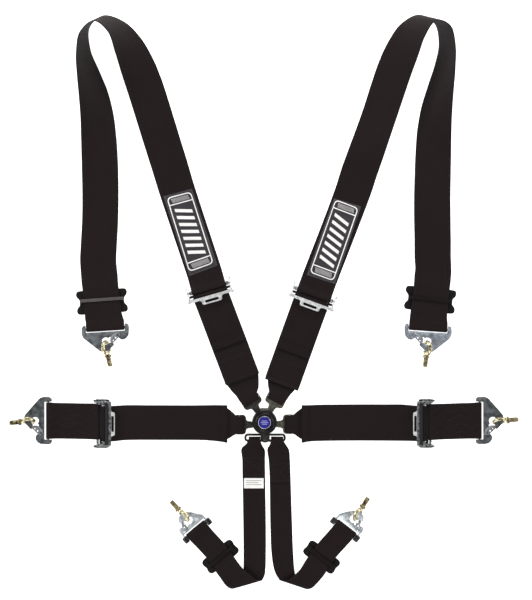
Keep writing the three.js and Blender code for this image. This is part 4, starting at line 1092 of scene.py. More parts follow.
knob = revolve([(0, 16.5), (23.6, 16.5), (25.1, 16.8), (25.8, 17.6), (25.9, 19), (25.9, 20.5), (25.9, 22), (25.8, 23.3), (25.3, 24.4), (24.3, 25.3), (22.9, 25.8), (21.8, 25.9),
                (20.9, 25.6), (20.3, 25.0), (19.7, 24.8), (19.1, 25.1), (18.2, 25.8), (16.8, 26.6), (15.4, 27.0), (14.4, 27.0), (14.15, 26.7), (14.1, 26.0), (0, 26.0)], 192, flute=grip)
# two finger scallops and small pointer ridge on the rim
ridge = [box(-1.1, 1.1, -2.3, 2.3, 25.3, 26.5, 0.6, Matrix.Rotation(rad(a), 4, 'Z') @ Matrix.Translation((22.6, 0, 0))) for a in (90, 210, 330)]
KNOB = metal_material('knob_black', lin('#100c0b'), 0.4, metallic=0.0, spec=0.22)
assemble('knob_grip', [knob] + ridge, KNOB, body='knob', nodes=['release_knob'], slot='black_plastic', sharp=40)
assemble('badge_ring', [revolve([(12.0, 26.2), (12.0, 28.0), (12.25, 28.4), (12.75, 28.6), (13.2, 28.4), (13.5, 27.9), (13.7, 26.2)], 96, closed=True)], SILVER, body='knob', nodes=['badge_bezel'], slot='badge_silver')


def badge_material():
    m, t, b = material('badge_enamel')
    obj = coords(t)
    n = noise(t, 300, 3, 0.6, obj)
    t.links.new(mix(t, n, lin('#221d70'), lin('#302a92')), b.inputs['Base Color'])
    b.inputs['Roughness'].default_value = 0.22
    b.inputs['Coat Weight'].default_value = 0.5
    b.inputs['Coat Roughness'].default_value = 0.08
    bump(t, b, n, 0.05, 0.0002)
    return m


ENAMEL = badge_material()
PALE = plastic_material('badge_pale', lin('#8f90d2'), 0.4, 0.1)
disc = [revolve([(0, 26.8), (12.0, 26.8), (12.0, 28.1), (8, 28.34), (4, 28.44), (0, 28.48)], 96)]
for a, l in ((0.0, 8.0), (-3.4, 5.6), (3.4, 5.6)):   # three plain bars
    disc.append((plate(rounded(rect(-l, l, a - 0.95, a + 0.95), 0.9, 4), [], 28.2, 28.72, 0.15), PALE))
assemble('badge_face', disc, ENAMEL, body='knob', nodes=['badge_disc'], slot='badge_blue')

# ------------------------------------------------------------------ tongues
for k in ('shoulder_left', 'shoulder_right', 'lap_left', 'lap_right'):
    f = TONGUE[k]
    side = [(9.2, 3.6, 2), (11.2, 6.2, 2), (26.8, 6.4, 1.5), (28.4, 7.4, 1.5), (34.0, 7.4, 4), (38.0, 9.6, 3), (39.4, 17.4, 5), (43.6, 20.8, 4), (58.5, 20.8, 5), (61.5, 18.2, 3)]
    out = rounded([(a, -c, r) for a, c, r in side] + [(a, c, r) for a, c, r in side[::-1]], 4, 8)
    light = k in ('shoulder_right', 'lap_right')
    mt = TONGUE_LIGHT if light else TONGUE_DARK
    parts = [plate(out, [circle(15.2, 0, 2.4, 28), rounded(rect(51.4, 54.4, -18.9, 18.9), 1.3)], 6.0, 8.5, 0.7)]
    parts.append(plate(rounded([(31, -3.4), (43.0, -13.5), (45.0, -12), (45.0, 12), (43.0, 13.5), (31, 3.4)], 2.5), [rounded([(35.5, -2.6), (42.6, -9.0), (42.6, 9.0), (35.5, 2.6)], 1.8)], 8.3, 9.0, 0.35))   # pressed rib
    assemble('tongue_' + k + '_metal', parts, mt, M=place(f[0], f[1], 0, f[2]), body='buckle', nodes=['tongue_' + k], slot='gunmetal')
f = TONGUE['crotch']


def tube(path, r, n=14, closed=True, M=None):
    """A round wire through points."""
    P = np.array(path, float)
    N = len(P)
    v, fc = [], []
    for i in range(N):
        a, b = (P[i - 1], P[(i + 1) % N]) if closed else (P[max(i - 1, 0)], P[min(i + 1, N - 1)])
        t = (b - a) / np.linalg.norm(b - a)
        up = np.array([0, 0, 1.0]) if abs(t[2]) < 0.9 else np.array([1.0, 0, 0])
        x = np.cross(up, t)
        x /= np.linalg.norm(x)
        y = np.cross(t, x)
        for j in range(n):
            q = 2 * math.pi * j / n
            v.append(P[i] + x * r * math.cos(q) + y * r * math.sin(q))
    for i in range(N if closed else N - 1):
        for j in range(n):
            l = (j + 1) % n
            ii = (i + 1) % N
            fc.append((i * n + j, i * n + l, ii * n + l, ii * n + j))
    if not closed:
        fc.append(tuple(range(n))[::-1])
        fc.append(tuple((N - 1) * n + j for j in range(n)))
    return mesh_of(v, fc, M)


parts = [plate(rounded([(9.2, -3.6, 2), (11.2, -6.2, 2), (24.6, -6.8, 1.5), (26.8, -9.8, 2), (38, -9.8, 6), (43.6, -5, 5), (43.6, 5, 5), (38, 9.8, 6), (26.8, 9.8, 2), (24.6, 6.8, 1.5), (11.2, 6.2, 2), (9.2, 3.6, 2)], 4, 8),
               [circle(15.2, 0, 2.4, 28)], 5.9, 8.6, 0.7)]
parts.append(revolve([(0, 8.5), (3.6, 8.5), (3.5, 8.9), (2.4, 9.2), (0, 9.25)], 28, Matrix.Translation((35, 0, 0))))
for s in (-1, 1):
    lp = rounded([(26.9, 6.0 * s, 0.5), (26.9, 41.0 * s, 6.5), (39.4, 41.6 * s, 6), (39.4, 6.0 * s, 0.5)], 5, 8)
    dense = []
    for i in range(len(lp)):
        a, b = np.array(lp[i]), np.array(lp[(i + 1) % len(lp)])
        m = max(1, int(np.linalg.norm(b - a) / 3))
        dense += [(*(a + (b - a) * j / m), 7.25) for j in range(m)]
    parts.append((tube(dense, 2.4), BLACK))
    parts.append((rod(2.7, 8, 38.6, 0.6, 24, Matrix.Translation((39.4, 0, 7.25)) @ ACROSS @ (Matrix.Identity(4) if s > 0 else Matrix.Rotation(math.pi, 4, 'X'))), BLACK_STEEL))
assemble('tongue_crotch_metal', parts, TONGUE_DARK, M=place(f[0], f[1], 0, f[2]), body='buckle', nodes=['tongue_crotch'], slot='gunmetal')


# ------------------------------------------------------------------ adjusters
def knurl(t, r, z):
    return r * (1 + 0.035 * math.cos(26 * t + 0.9 * z) * (1 if r > 3.5 else 0))


for name in ADJ:
    f = ADJ[name]
    lap = name.startswith('lap')
    fx, fz, ra, rz = (12, 5, -3, 6) if lap else (-10, 4.6, 6, 6.4)
    parts = []
    for s in (-1, 1):
        cheek = rounded([(-16, 1.0), (-16, 11), (-11, 14.2), (10, 14.2), (14, 11), (19, 8), (19, 1.0)], 2.6)
        win = [rounded(rect(ra - 2.4, ra + 3.5, rz - 2.4, rz + 2.4), 1.1)]
        T = Matrix.Translation((0, 45.0 * s, 0))
        parts.append(plate(cheek, win, -1.3, 1.3, 0.5, T, 'az'))
        if lap:
            M0 = Matrix.Identity(4)
            parts.append(plate(rounded([(-14, 45 * s), (-12, 50.6 * s), (-4, 51.4 * s), (14, 51.4 * s), (21.5, 49.6 * s), (21.5, 46.5 * s), (17, 45 * s)], 2), [rounded(rect(1.0, 8.5, min(46.6 * s, 49.6 * s), max(46.6 * s, 49.6 * s)), 0.8)], 1.0, 3.0, 0.5, M0))
            parts.append(plate(rounded([(-15.5, 45.8 * s), (-15.5, 37.5 * s), (-9, 37.5 * s), (-6, 41.2 * s), (11, 41.2 * s), (13, 45.8 * s)], 1.6), [rounded(rect(0.5, 7.0, min(42.6 * s, 44.6 * s), max(42.6 * s, 44.6 * s)), 0.6)], 12.2, 14.3, 0.5, M0))
        else:
            parts.append(plate(rounded([(11, 44.5 * s), (12.5, 48.6 * s), (18, 49.4 * s), (20.5, 47.5 * s), (18.5, 44.5 * s)], 1.4), [], 1.0, 2.6, 0.4))
            parts.append(plate(rounded([(-16, 44.5 * s), (-15, 50.2 * s), (-10, 51.0 * s), (-8.5, 47.5 * s), (-4, 46.5 * s), (-4, 44.5 * s)], 1.4), [], 12.0, 13.6, 0.4))
    if lap:
        for s in (-1, 1):
            parts.append((plate(rounded(rect(-14.5, 4.0, min(38.8 * s, 43.8 * s), max(38.8 * s, 43.8 * s)), 0.6), [], 0.9, 1.9, 0.3), MATTE))
            parts.append((plate(rounded(rect(0.4, 9.1, min(46.2 * s, 50.0 * s), max(46.2 * s, 50.0 * s)), 0.6), [], 1.2, 1.9, 0.2), BRACKET))
    if not lap:
        parts.append((plate(rounded(rect(-4.9, 0.2, -43.6, 43.6), 0.6), [], 2.2, 3.6, 0.4), MATTE))
    if lap:
        parts.append((plate(rounded(rect(-17.3, -12.0, -46, 46), 1.4), [], 12.0, 14.6, 0.9), GREY_CAST))
        parts.append((rod(3.5, -43.2, 43.2, 0.4, 40, Matrix.Translation((-8.4, 0, 13.2)) @ ACROSS, knurl, rows=30), MATTE))
        parts.append((plate(rounded(rect(2.9, 8.0, -43.6, 43.6), 0.6), [], 2.6, 5.2, 0.4), MATTE))
        parts.append((plate(rounded([(-15.5, -30), (-18.5, -25.5), (-22, -24.6), (-25.0, -23.0), (-25.0, 23.0), (-22, 24.6), (-18.5, 25.5), (-15.5, 30)], 2.6), [rounded(rect(-23.0, -17.6, -16.6, 16.6), 2.2)], 12.0, 14.2, 0.7), CHROME))
    else:
        parts.append(plate(rounded(rect(-14.6, -8.8, -49.4, 49.4), 1.8), [], 12.0, 14.5, 1.0))
        parts.append(plate(rounded([(-12.5, -27), (-15.5, -24), (-17.5, -21.6), (-23, -21.2), (-25, -19), (-25, 19), (-23, 21.2), (-17.5, 21.6), (-15.5, 24), (-12.5, 27)], 2.2), [rounded(rect(-21.9, -16.4, -14.8, 14.8), 2.4)], 12.0, 14.2, 0.8))
    parts.append(rod(2.6, -44.6, 44.6, 0.4, 24, Matrix.Translation((fx, 0, fz)) @ ACROSS))
    o = assemble('adjuster_' + name + '_metal', parts, CHROME if not lap else BRACKET, M=place(f[0], f[1], 0, f[2]), body='adjuster_' + name, nodes=['adjuster_frame_' + name], slot='bright_steel')
    assemble('roller_' + name + '_metal', [rod(4.0, -42.6, 42.6, 0.5, 52, Matrix.Translation((ra, 0, rz)) @ ACROSS, knurl, rows=30), rod(1.9, -48.4, 48.4, 0.4, 18, Matrix.Translation((ra, 0, rz)) @ ACROSS)],
             BRACKET, M=place(f[0], f[1], 0, f[2]), body='roller_' + name if not lap else 'web_main_' + name, nodes=['adjuster_roller_' + name], slot='bright_steel')

# ------------------------------------------------------------------ three-bar slides
for k, (x, y, h, inch) in SLIDE.items():
    w = 38.6 if inch == 3 else 25.2
    L, B = (25, 12) if inch == 3 else (17.5, 9)
    o_, m_, wa = (w + 15.5, w + 9, 1) if inch == 3 else (w + 14.6, w + 13.4, 0.72)
    out = rounded([(-L, -m_ + 2), (-L + 1, -o_ + 3), (-L + 7 * wa, -o_), (-L + 14 * wa, -o_ + 2), (-6 * wa, -m_ + 1), (6 * wa, -m_ + 1), (L - 14 * wa, -o_ + 2), (L - 7 * wa, -o_), (L - 1, -o_ + 3), (L, -m_ + 2),
                   (L, m_ - 2), (L - 1, o_ - 3), (L - 7 * wa, o_), (L - 14 * wa, o_ - 2), (6 * wa, m_ - 1), (-6 * wa, m_ - 1), (-L + 14 * wa, o_ - 2), (-L + 7 * wa, o_), (-L + 1, o_ - 3), (-L, m_ - 2)], 7, 8)
    if inch == 2:
        edge = [(-L, o_ - 6.5), (-L + 3.5, o_ - 0.6), (-L + 9.5, o_), (0, o_ - 2.0), (L - 9.5, o_), (L - 3.5, o_ - 0.6), (L, o_ - 6.5)]
        out = rounded([(a, -c) for a, c in edge] + [(a, c) for a, c in edge[::-1]], 3.6, 6)
    da, db = (2.6, -1.4) if k == 'shoulder_left' else (0.0, 0.0)
    out = [(a + da, c) for a, c in out]
    parts = [plate(out, [rounded(rect(-B + da, B + da, -w + 2.2, w - 2.2), 1.5)], 0, 2.5, 0.8)]
    for s in (-1, 1):
        c0, c1 = (w - 0.2, w + 5.2)
        parts.append(plate(rounded([(-5.5, 0.4, 0.5), (-4.2, 5.5, 2.0), (-3.0, 7.6, 1.5), (3.0, 7.6, 1.5), (4.2, 5.5, 2.0), (5.5, 0.4, 0.5)], 1, 6), [], -2.7 if inch == 3 else -2.2, 2.7 if inch == 3 else 2.2, 0.9, Matrix.Translation((0, s * (w + (3.3 if inch == 3 else 4.4)), 0)), 'az'))
    bar_m = SLIDE_BAR if k == 'shoulder_left' else BAR_BLACK
    parts.append((plate(rounded([(-3.3 + db, -w - 7.4), (3.3 + db, -w - 7.4), (3.3 + db, w + 7.4), (-3.3 + db, w + 7.4)], 1.6), [], 6.35, 9.0, 1.1), bar_m))
    for q in (-1, 1):
        for s in (-1, 1):   # pressed dimples on the four lobes
            parts.append(revolve([(0, 2.45), (2.6, 2.45), (2.2, 2.9), (1.0, 3.1), (0, 3.12)], 22, Matrix.Translation((q * (L - 7 * wa) + da, s * (o_ - 5), 0))))
    turn = -2.0 if k == 'shoulder_left' else 0.0
    assemble('slide_' + k + '_metal', parts, BLACK_STEEL, M=place(x, y - (1.6 if turn else 0), 0, h + turn), body='slide_' + k, nodes=['slide_' + k], slot='black_steel')


# ------------------------------------------------------------------ hooks, latches and eye bolts
def thread_mesh(x0, x1, r0, r1, pitch, n=36, per=8):
    rows = int((x1 - x0) / pitch * per)
    v, fc = [], []
    for i in range(rows + 1):
        x = x0 + (x1 - x0) * i / rows
        fade = min(1, (x - x0) / 1.5, (x1 - x) / 1.2)
        for j in range(n):
            t = 2 * math.pi * j / n
            u = (x / pitch - j / n) % 1.0
            r = r0 + (r1 - r0) * (1 - abs(2 * u - 1)) * max(fade, 0) ** 0.6
            v.append((x, r * math.cos(t), r * math.sin(t)))
    for i in range(rows):
        for j in range(n):
            l = (j + 1) % n
            fc.append((i * n + j, i * n + l, (i + 1) * n + l, (i + 1) * n + j))
    c0, c1 = len(v), len(v) + 1
    v += [(x0, 0, 0), (x1 + 0.3, 0, 0)]
    for j in range(n):
        l = (j + 1) % n
        fc.append((c0, l, j))
        fc.append((c1, rows * n + j, rows * n + l))
    return mesh_of(v, fc)


for k, (x, y, h, inch, s, bh) in HOOK.items():
    zb = BAR_Z[inch]
    hb = at((x, y, h), -6, 0, zb)
    M = place(*hb, h, HOOK_TILT[inch])
    gp, gb = (41.0, -8.5) if k.startswith('shoulder') else (39.6, -8.2)
    big = [(4, 50.2, 3), (11.5, 47, 4), (42.6, 12.0, 5), (43.4, 4, 4), (41.5, -4, 5), (30, -17, 2.5), (26.5, -16.5, 1.6), (24.6, -10, 1.2)]
    low3 = [(12.4, -8, 1.5), (12.4, -20, 4), (14.5, -27, 3), (19, -31, 3), (20, -37, 5), (17, -43, 5), (10.6, -48.5, 5), (-8, -50.0, 3.5), (-14.2, -47.5, 3.5), (-15.2, -gp - 0.8, 2), (gb, -gp, 2), (gb, gp, 2), (-15.2, gp + 0.8, 2), (-14.2, 47.5, 3.5), (-8, 50.2, 3.5)]
    big2 = [(3, 31, 4), (11, 30.5, 5), (33, 15, 8), (41, 5, 5), (42, -4, 5), (39, -13, 5), (31, -18.0, 3), (26.5, -16.5, 1.6), (24.6, -10, 1.2)]
    low2 = [(12.4, -8, 1.5), (12.4, -16, 3), (16, -18.0, 2.5), (20.0, -23.5, 4), (17.5, -29.5, 4), (9, -31.2, 3), (-5, -31, 4), (-8, -28.5, 2), (-8, 28.5, 2), (-5, 31, 4)]
    hole = [(p[0], p[1], 0) for p in arc(HOLE_A, 0, HOLE_R - 0.7, -52, 225, 36)]
    pts = (big if inch == 3 else big2) + hole + (low3 if inch == 3 else low2)
    pts = [(p[0] + 6, p[1] * s, p[2]) for p in pts]
    sw = 27 if inch == 2 else 40.9 if k.startswith('shoulder') else 39.4
    mt = ZINC_DARK if inch == 3 else ZINC_LIGHT
    if k == 'shoulder_right':
        mt = ZINC_MID
    parts = [plate(rounded(pts, 3, 7), [rounded(rect(0.7 if k.startswith('shoulder') else 0.4, 6.8, -sw, sw) if inch == 3 else rect(3, 9.2, -sw, sw), 1.4)], -1.5, 1.5, 0.7)]
    ra_, rb_ = 8.2, (-25.5 if inch == 3 else -20.5)
    parts.append(revolve([(0, 0), (2.15, 0), (2.15, 3.6), (3.3, 3.6), (3.2, 4.2), (2.2, 4.7), (0, 4.85)], 26, Matrix.Translation((ra_ + 6, rb_ * s, 0))))
    assemble('hook_' + k + '_metal', parts, mt, M=M, body='hook_' + k, nodes=['hook_' + k], slot='zinc_dark' if inch == 3 else 'zinc_light')
    lo = [(ra_ - 5, rb_ - 3.5), (ra_ + 3, rb_ - 5), (ra_ + 10, rb_ + 1), (27.4, -14.8), (26.9, -11.2), (22.0, -9.0), (14, -10.2), (ra_ - 2, rb_ + 8)]
    lo = rounded([(a + 6, b * s) for a, b in lo], 3, 6)
    holes = [circle(ra_ + 6, rb_ * s, 2.5, 24), circle(ra_ + 6 + 7.2, (rb_ + 4.6) * s, 1.5, 20), circle(ra_ + 6 + 12.6, (rb_ + 9.4) * s, 1.1, 18)]
    parts = [plate(lo, holes, 1.8, 3.3, 0.45)]
    # spring leaf curled along the gate
    parts.append(tube([(ra_ + 4.4 + 0.9 * math.cos(q * 0.9) * 1.0, (rb_ + 3.4) * s + 0.9 * math.sin(q * 0.9), 3.6 + 0.0 * q) for q in range(6)] + [(ra_ + 11 + q * 1.6, (rb_ + 6.0 + 1.4 * q) * s, 3.55) for q in range(6)], 0.45, 8, closed=False))
    assemble('latch_' + k + '_metal', parts, LATCH, M=M, body='latch_' + k, nodes=['latch_' + k], slot='zinc_dark' if inch == 3 else 'zinc_light')
    if inch == 2:
        parts = []
        for q in (-1, 1):
            lug = rounded([(-9.6, -4.4), (-9.6, 4.8), (3.2, 5.0), (4.6, 2.2), (4.6, -4.4)], 3.2, 7)
            parts.append(plate(lug, [], -5.5, 5.5, 2.4, Matrix.Translation((0, q * 30.6, 0)), 'az'))
        parts.append(rod(4.6, -27.6, 27.6, 0.5, 32, ACROSS.copy()))
        assemble('sleeve_' + k + '_moulding', parts, BLACK, M=M, body='hook_' + k, nodes=['bar_sleeve_' + k], slot='black_plastic')
    rc = M @ Vector((RING_A + 6, 0, 0))
    ring = []
    for i in range(25):
        t = 2 * math.pi * i / 24
        ring.append((RING_R + WIRE_R * math.cos(t), WIRE_R * math.sin(t)))
    tor = revolve(ring[:-1], 72, Matrix.Rotation(rad(90 - 25 * s), 4, 'X'), closed=True)
    neck = revolve([(0, 13.0), (4.0, 13.0), (3.9, 14.4), (4.3, 15.6), (5.6, 16.4), (6.9, 16.8), (7.3, 17.5), (7.3, 19.2), (6.9, 20.2), (5.9, 20.8), (4.6, 21.0), (0, 21.2)], 48, Matrix(((0, 0, 1, 0), (0, 1, 0, 0), (-1, 0, 0, 0), (0, 0, 0, 1))))
    parts = [tor, (neck, GOLD_DARK), (thread_mesh(20.6, 40.6, 4.45, 5.15, 1.59), GOLD_DARK)]
    assemble('eye_bolt_' + k + '_metal', parts, GOLD, M=place(rc[0], rc[1], rc[2], bh, -BOLT_PITCH), body='eye_bolt_' + k, nodes=['eye_bolt_' + k], slot='yellow_zinc', sharp=50)


# ------------------------------------------------------------------ patches and label
def px(u, v):
    return np.array([(u - 264.5) * 2.1, (421.5 - v) * 2.1])


def warp(me, quad, W, L):
    """Lays a mesh drawn in (0..W, 0..L) onto the quad A (0,0), B (W,0), C (W,L), D (0,L); keeps z."""
    A_, B_, C_, D_ = [np.array(q, float) for q in quad]
    for v in me.vertices:
        a, b = v.co.x / MM / W, v.co.y / MM / L
        p = (1 - a) * (1 - b) * A_ + a * (1 - b) * B_ + a * b * C_ + (1 - a) * b * D_
        v.co.x, v.co.y = p[0] * MM, p[1] * MM
    return me


def cloth_material():
    m, t, b = material('patch_cloth')
    obj = coords(t)
    mp = scaled(t, obj, (1, 1, 1))
    w1 = t.nodes.new('ShaderNodeTexWave')
    w1.inputs['Scale'].default_value = 260
    w1.inputs['Distortion'].default_value = 1.2
    t.links.new(mp, w1.inputs['Vector'])
    n = noise(t, 420, 4, 0.65, obj)
    big = noise(t, 30, 3, 0.5, obj)
    k = math_node(t, 'MULTIPLY_ADD', n, 0.6, math_node(t, 'MULTIPLY', big, 0.4))
    t.links.new(mix(t, k, lin('#171619'), lin('#4f4c50')), b.inputs['Base Color'])
    b.inputs['Roughness'].default_value = 0.85
    b.inputs['Specular IOR Level'].default_value = 0.2
    bump(t, b, math_node(t, 'ADD', math_node(t, 'MULTIPLY', w1.outputs['Fac'], 0.4), n), 0.4, 0.0005)
    return m


CLOTH = cloth_material()
PRINT = plastic_material('raised_white_print', lin('#f1f0ee'), 0.55, 0.3)
PRINT_DIM = plastic_material('grey_print', lin('#a9a7a6'), 0.6, 0.4)
PATCH = {
  'left': ([(163.2, 196.4), (192.1, 188.6), (217.9, 265.7), (189.3, 276.4)], [(166.6, 198.0), (190.9, 191.6), (213.7, 263.2), (189.2, 272.0)], 1),
  'right': ([(333.9, 198.2), (361.4, 206.4), (335, 284.3), (306.4, 275.0)], [(335.4, 199.4), (358.6, 208.2), (333.4, 281.2), (309.6, 272.4)], 1)}
for side, (cloth_q, border_q, _) in PATCH.items():
    rib = globals()['UP_' + side]
    cq = [px(*p) for p in cloth_q]
    bq = [px(*p) for p in border_q]
    W = float(np.linalg.norm(cq[1] - cq[0]) + np.linalg.norm(cq[2] - cq[3])) / 2
    L = float(np.linalg.norm(cq[3] - cq[0]) + np.linalg.norm(cq[2] - cq[1])) / 2
    # cloth as a fine grid with slightly raised, stitched edge
    nx, ny = 26, 64
    V, F = [], []
    for top in (1, 0):
        for j in range(ny + 1):
            for i in range(nx + 1):
                u, v = i / nx, j / ny
                e = min(u * W, (1 - u) * W, v * L, (1 - v) * L)
                z = 2.78 + 0.25 * math.exp(-((e - 2.6) / 1.2) ** 2) - 0.55 * math.exp(-(e / 0.9) ** 2) + 0.06 * math.sin(v * 23 + 3 * u) + 0.05 * math.sin(9 * u + 31 * v)
                V.append((u * W, v * L, z if top else 1.72))
    n1 = (nx + 1) * (ny + 1)
    idx = lambda i, j, t: t * n1 + j * (nx + 1) + i
    for j in range(ny):
        for i in range(nx):
            F.append((idx(i, j, 0), idx(i + 1, j, 0), idx(i + 1, j + 1, 0), idx(i, j + 1, 0)))
            F.append((idx(i, j, 1), idx(i, j + 1, 1), idx(i + 1, j + 1, 1), idx(i + 1, j, 1)))
    for i in range(nx):
        F.append((idx(i, 0, 0), idx(i, 0, 1), idx(i + 1, 0, 1), idx(i + 1, 0, 0)))
        F.append((idx(i, ny, 0), idx(i + 1, ny, 0), idx(i + 1, ny, 1), idx(i, ny, 1)))
    for j in range(ny):
        F.append((idx(0, j, 0), idx(0, j + 1, 0), idx(0, j + 1, 1), idx(0, j, 1)))
        F.append((idx(nx, j, 0), idx(nx, j, 1), idx(nx, j + 1, 1), idx(nx, j + 1, 0)))
    me = warp(mesh_of(V, F), cq, W, L)
    cloth = assemble('patch_cloth_' + side, [me], CLOTH, body='web_upper_shoulder_' + side, nodes=['patch_' + side], slot='patch_cloth')
    LATE.append(lambda cloth=cloth, W=W, L=L, side=side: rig.sheet(cloth, flat=(W * MM, L * MM), held='laid', rests_on=['webbing_upper_shoulder_' + side], area=W * L * MM * MM * 0.998, with_pieces=['patch_print_' + side, 'patch_sewing_' + side]))
    # white line border with two dividers, hatched end cells, and a plain row of slanted bars between
    w = float(np.linalg.norm(bq[1] - bq[0]) + np.linalg.norm(bq[2] - bq[3])) / 2
    l = float(np.linalg.norm(bq[3] - bq[0]) + np.linalg.norm(bq[2] - bq[1])) / 2
    t = 2.3
    za, zb_ = 2.55, 3.15
    prints = []

    def strip(x0, x1, y0, y1, mm=PRINT, sl=0.0, r=0.6, zt=zb_):
        pts = [(x0, y0), (x1, y0 + sl), (x1, y1 + sl), (x0, y1)]
        return (warp(plate(rounded(pts, r, 3), [], za, zt, 0.12), bq, w, l), mm)
    prints.append((warp(plate(rounded(rect(0, w, 0, l), 10, 9), [rounded(rect(t, w - t, t, l - t), 8, 9)], za, zb_, 0.15), bq, w, l), PRINT))
    for yy in (0.108 * l, 0.888 * l):
        prints.append(strip(t * 0.6, w - t * 0.6, yy - t / 2, yy + t / 2, sl=0))
    for y0, y1 in ((t + 2.2, 0.108 * l - t / 2 - 2.0), (0.888 * l + t / 2 + 2.0, l - t - 2.2)):
        n = 15
        x0, x1 = 8.0, w - 8.0
        for i in range(n):
            xx = x0 + (x1 - x0) * i / n
            pts = [(xx, y0), (xx + 1.5, y0), (xx + 1.5 + 2.2, y1), (xx + 2.2, y1)]
            prints.append((warp(plate(rounded(pts, 0.3, 2), [], za, 3.05, 0.1), bq, w, l), PRINT_DIM))
    y0, y1 = 0.108 * l + 9, 0.888 * l - 9
    n = 7
    for i in range(n):
        yy = y0 + (y1 - y0 - 16) * i / (n - 1)
        prints.append(strip(9.0, w - 9.0, yy, yy + 7.0, sl=11.0, r=0.9))
    o = assemble('patch_print_' + side, prints, PRINT)
    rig.ride(o, 'web_upper_shoulder_' + side)
    # double rows of sewing along the long sides, single across the ends
    rows = []
    A_, B_, C_, D_ = cq

    def Q(a, b, z=3.0):
        a, b = a / W, b / L
        p = (1 - a) * (1 - b) * A_ + a * (1 - b) * B_ + a * b * C_ + (1 - a) * b * D_
        return (np.array([p[0], p[1], z]), np.array([0, 0, 1.0]))
    for xx in (1.9, 4.4, W - 1.9, W - 4.4):
        rows.append([Q(xx, 1.8 + (L - 3.6) * i / 80) for i in range(81)])
    for yy in (1.9, L - 1.9):
        rows.append([Q(1.9 + (W - 3.8) * i / 30, yy) for i in range(31)])
    stitches('patch_sewing_' + side, rows, THREAD_GREY, 'web_upper_shoulder_' + side, r=0.3, pitch=2.9, length=2.2)

# care label: plain white woven tag with three grey bars
lx0, lx1, ly0, ly1 = -43.3, -1.7, -140.0, -118.7
V, F = [], []
nx, ny = 22, 14
for top in (1, 0):
    for j in range(ny + 1):
        for i in range(nx + 1):
            u, v = i / nx, j / ny
            z = 2.25 + 0.08 * math.sin(5 * u + 4 * v) + 0.12 * math.exp(-((v - 0.9) / 0.08) ** 2)
            V.append((lx0 + (lx1 - lx0) * u, ly0 + (ly1 - ly0) * v, z if top else 1.62))
n1 = (nx + 1) * (ny + 1)
idx = lambda i, j, t: t * n1 + j * (nx + 1) + i
for j in range(ny):
    for i in range(nx):
        F.append((idx(i, j, 0), idx(i + 1, j, 0), idx(i + 1, j + 1, 0), idx(i, j + 1, 0)))
        F.append((idx(i, j, 1), idx(i, j + 1, 1), idx(i + 1, j + 1, 1), idx(i + 1, j, 1)))
for i in range(nx):
    F.append((idx(i, 0, 0), idx(i, 0, 1), idx(i + 1, 0, 1), idx(i + 1, 0, 0)))
    F.append((idx(i, ny, 0), idx(i + 1, ny, 0), idx(i + 1, ny, 1), idx(i, ny, 1)))
for j in range(ny):
    F.append((idx(0, j, 0), idx(0, j + 1, 0), idx(0, j + 1, 1), idx(0, j, 1)))
    F.append((idx(nx, j, 0), idx(nx, j, 1), idx(nx, j + 1, 1), idx(nx, j + 1, 0)))
label = assemble('care_label', [mesh_of(V, F)], LABEL_CLOTH, body='web_crotch_left', nodes=['label_crotch_left'], slot='label_white')
lines = [plate(rounded(rect(lx0 + 5, lx1 - 5 - 7 * (i % 2), -124.6 - 4.2 * i, -123.2 - 4.2 * i), 0.4, 3), [], 2.15, 2.5, 0.1) for i in range(3)]
o = assemble('care_label_bars', lines, PRINT_DIM)
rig.ride(o, 'web_crotch_left')
LATE.append(lambda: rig.sheet(label, flat=((lx1 - lx0) * MM, (ly1 - ly0) * MM), held='laid', rests_on=['webbing_crotch_left'], with_pieces=['care_label_bars']))

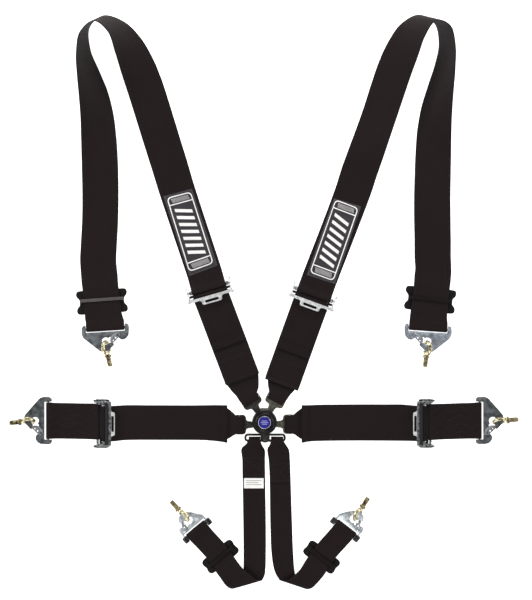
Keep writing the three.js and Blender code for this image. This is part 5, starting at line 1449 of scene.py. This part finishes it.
# ------------------------------------------------------------------ floor, light, camera
bpy.ops.mesh.primitive_grid_add(x_subdivisions=2, y_subdivisions=2, size=14, location=(0, 0.25, -0.0006))
floor = bpy.context.object
floor.name = 'studio_floor'
m, t, b = material('floor_white')
obj = coords(t)
t.links.new(mix(t, noise(t, 3, 2, 0.5, obj), (0.93, 0.93, 0.93), (0.95, 0.95, 0.95)), b.inputs['Base Color'])
b.inputs['Roughness'].default_value = 0.9
b.inputs['Specular IOR Level'].default_value = 0.0
b.inputs['Emission Color'].default_value = (1, 1, 1, 1)
b.inputs['Emission Strength'].default_value = FLOOR_GLOW
floor.data.materials.append(m)
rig.stage(floor)

world = bpy.data.worlds.new('studio') if bpy.context.scene.world is None else bpy.context.scene.world
bpy.context.scene.world = world
world.use_nodes = True
bg = world.node_tree.nodes.get('Background') or world.node_tree.nodes.new('ShaderNodeBackground')
bg.inputs[0].default_value = (1, 1, 1, 1)
bg.inputs[1].default_value = 0.2


def area_light(name, loc, target, size, power, colour=(1, 1, 1), size_y=None):
    d = bpy.data.lights.new(name, 'AREA')
    d.energy = power
    d.color = colour
    d.shape = 'RECTANGLE'
    d.size = size
    d.size_y = size_y or size
    o = bpy.data.objects.new(name, d)
    o.location = loc
    o.rotation_euler = (Vector(target) - Vector(loc)).to_track_quat('-Z', 'Y').to_euler()
    bpy.context.collection.objects.link(o)
    return o


area_light('soft_left', (-2.4, 0.9, 1.5), (0, 0.2, 0), 1.5, 46)
area_light('soft_right', (2.4, 0.6, 1.5), (0, 0.2, 0), 1.5, 34)
area_light('soft_head', (0.2, 2.6, 1.3), (0, 0.2, 0), 1.6, 34, size_y=0.7)
area_light('soft_foot', (-0.5, -2.0, 1.4), (0, 0.2, 0), 1.4, 26, size_y=0.7)

cam = bpy.data.objects.new('camera', bpy.data.cameras.new('camera'))
bpy.context.collection.objects.link(cam)
cam.location = (0.00315, 0.25515, 3.2)
cam.rotation_euler = (0, 0, 0)
cam.data.sensor_fit = 'AUTO'
cam.data.sensor_width = 36
cam.data.lens = 18 * 3.2 / 0.63
cam.data.clip_end = 50
bpy.context.scene.camera = cam
bpy.context.scene.view_settings.view_transform = 'Standard'
bpy.context.scene.view_settings.look = 'None'
bpy.context.scene.view_settings.exposure = 0.0

for call in LATE:
    call()
bpy.context.view_layer.update()
with open('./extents.json', 'w') as fh:
    json.dump({'cad': [list(map(float, c)) for c in CAD_BOX], 'visual': [list(map(float, c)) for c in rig.bounds()]}, fh)
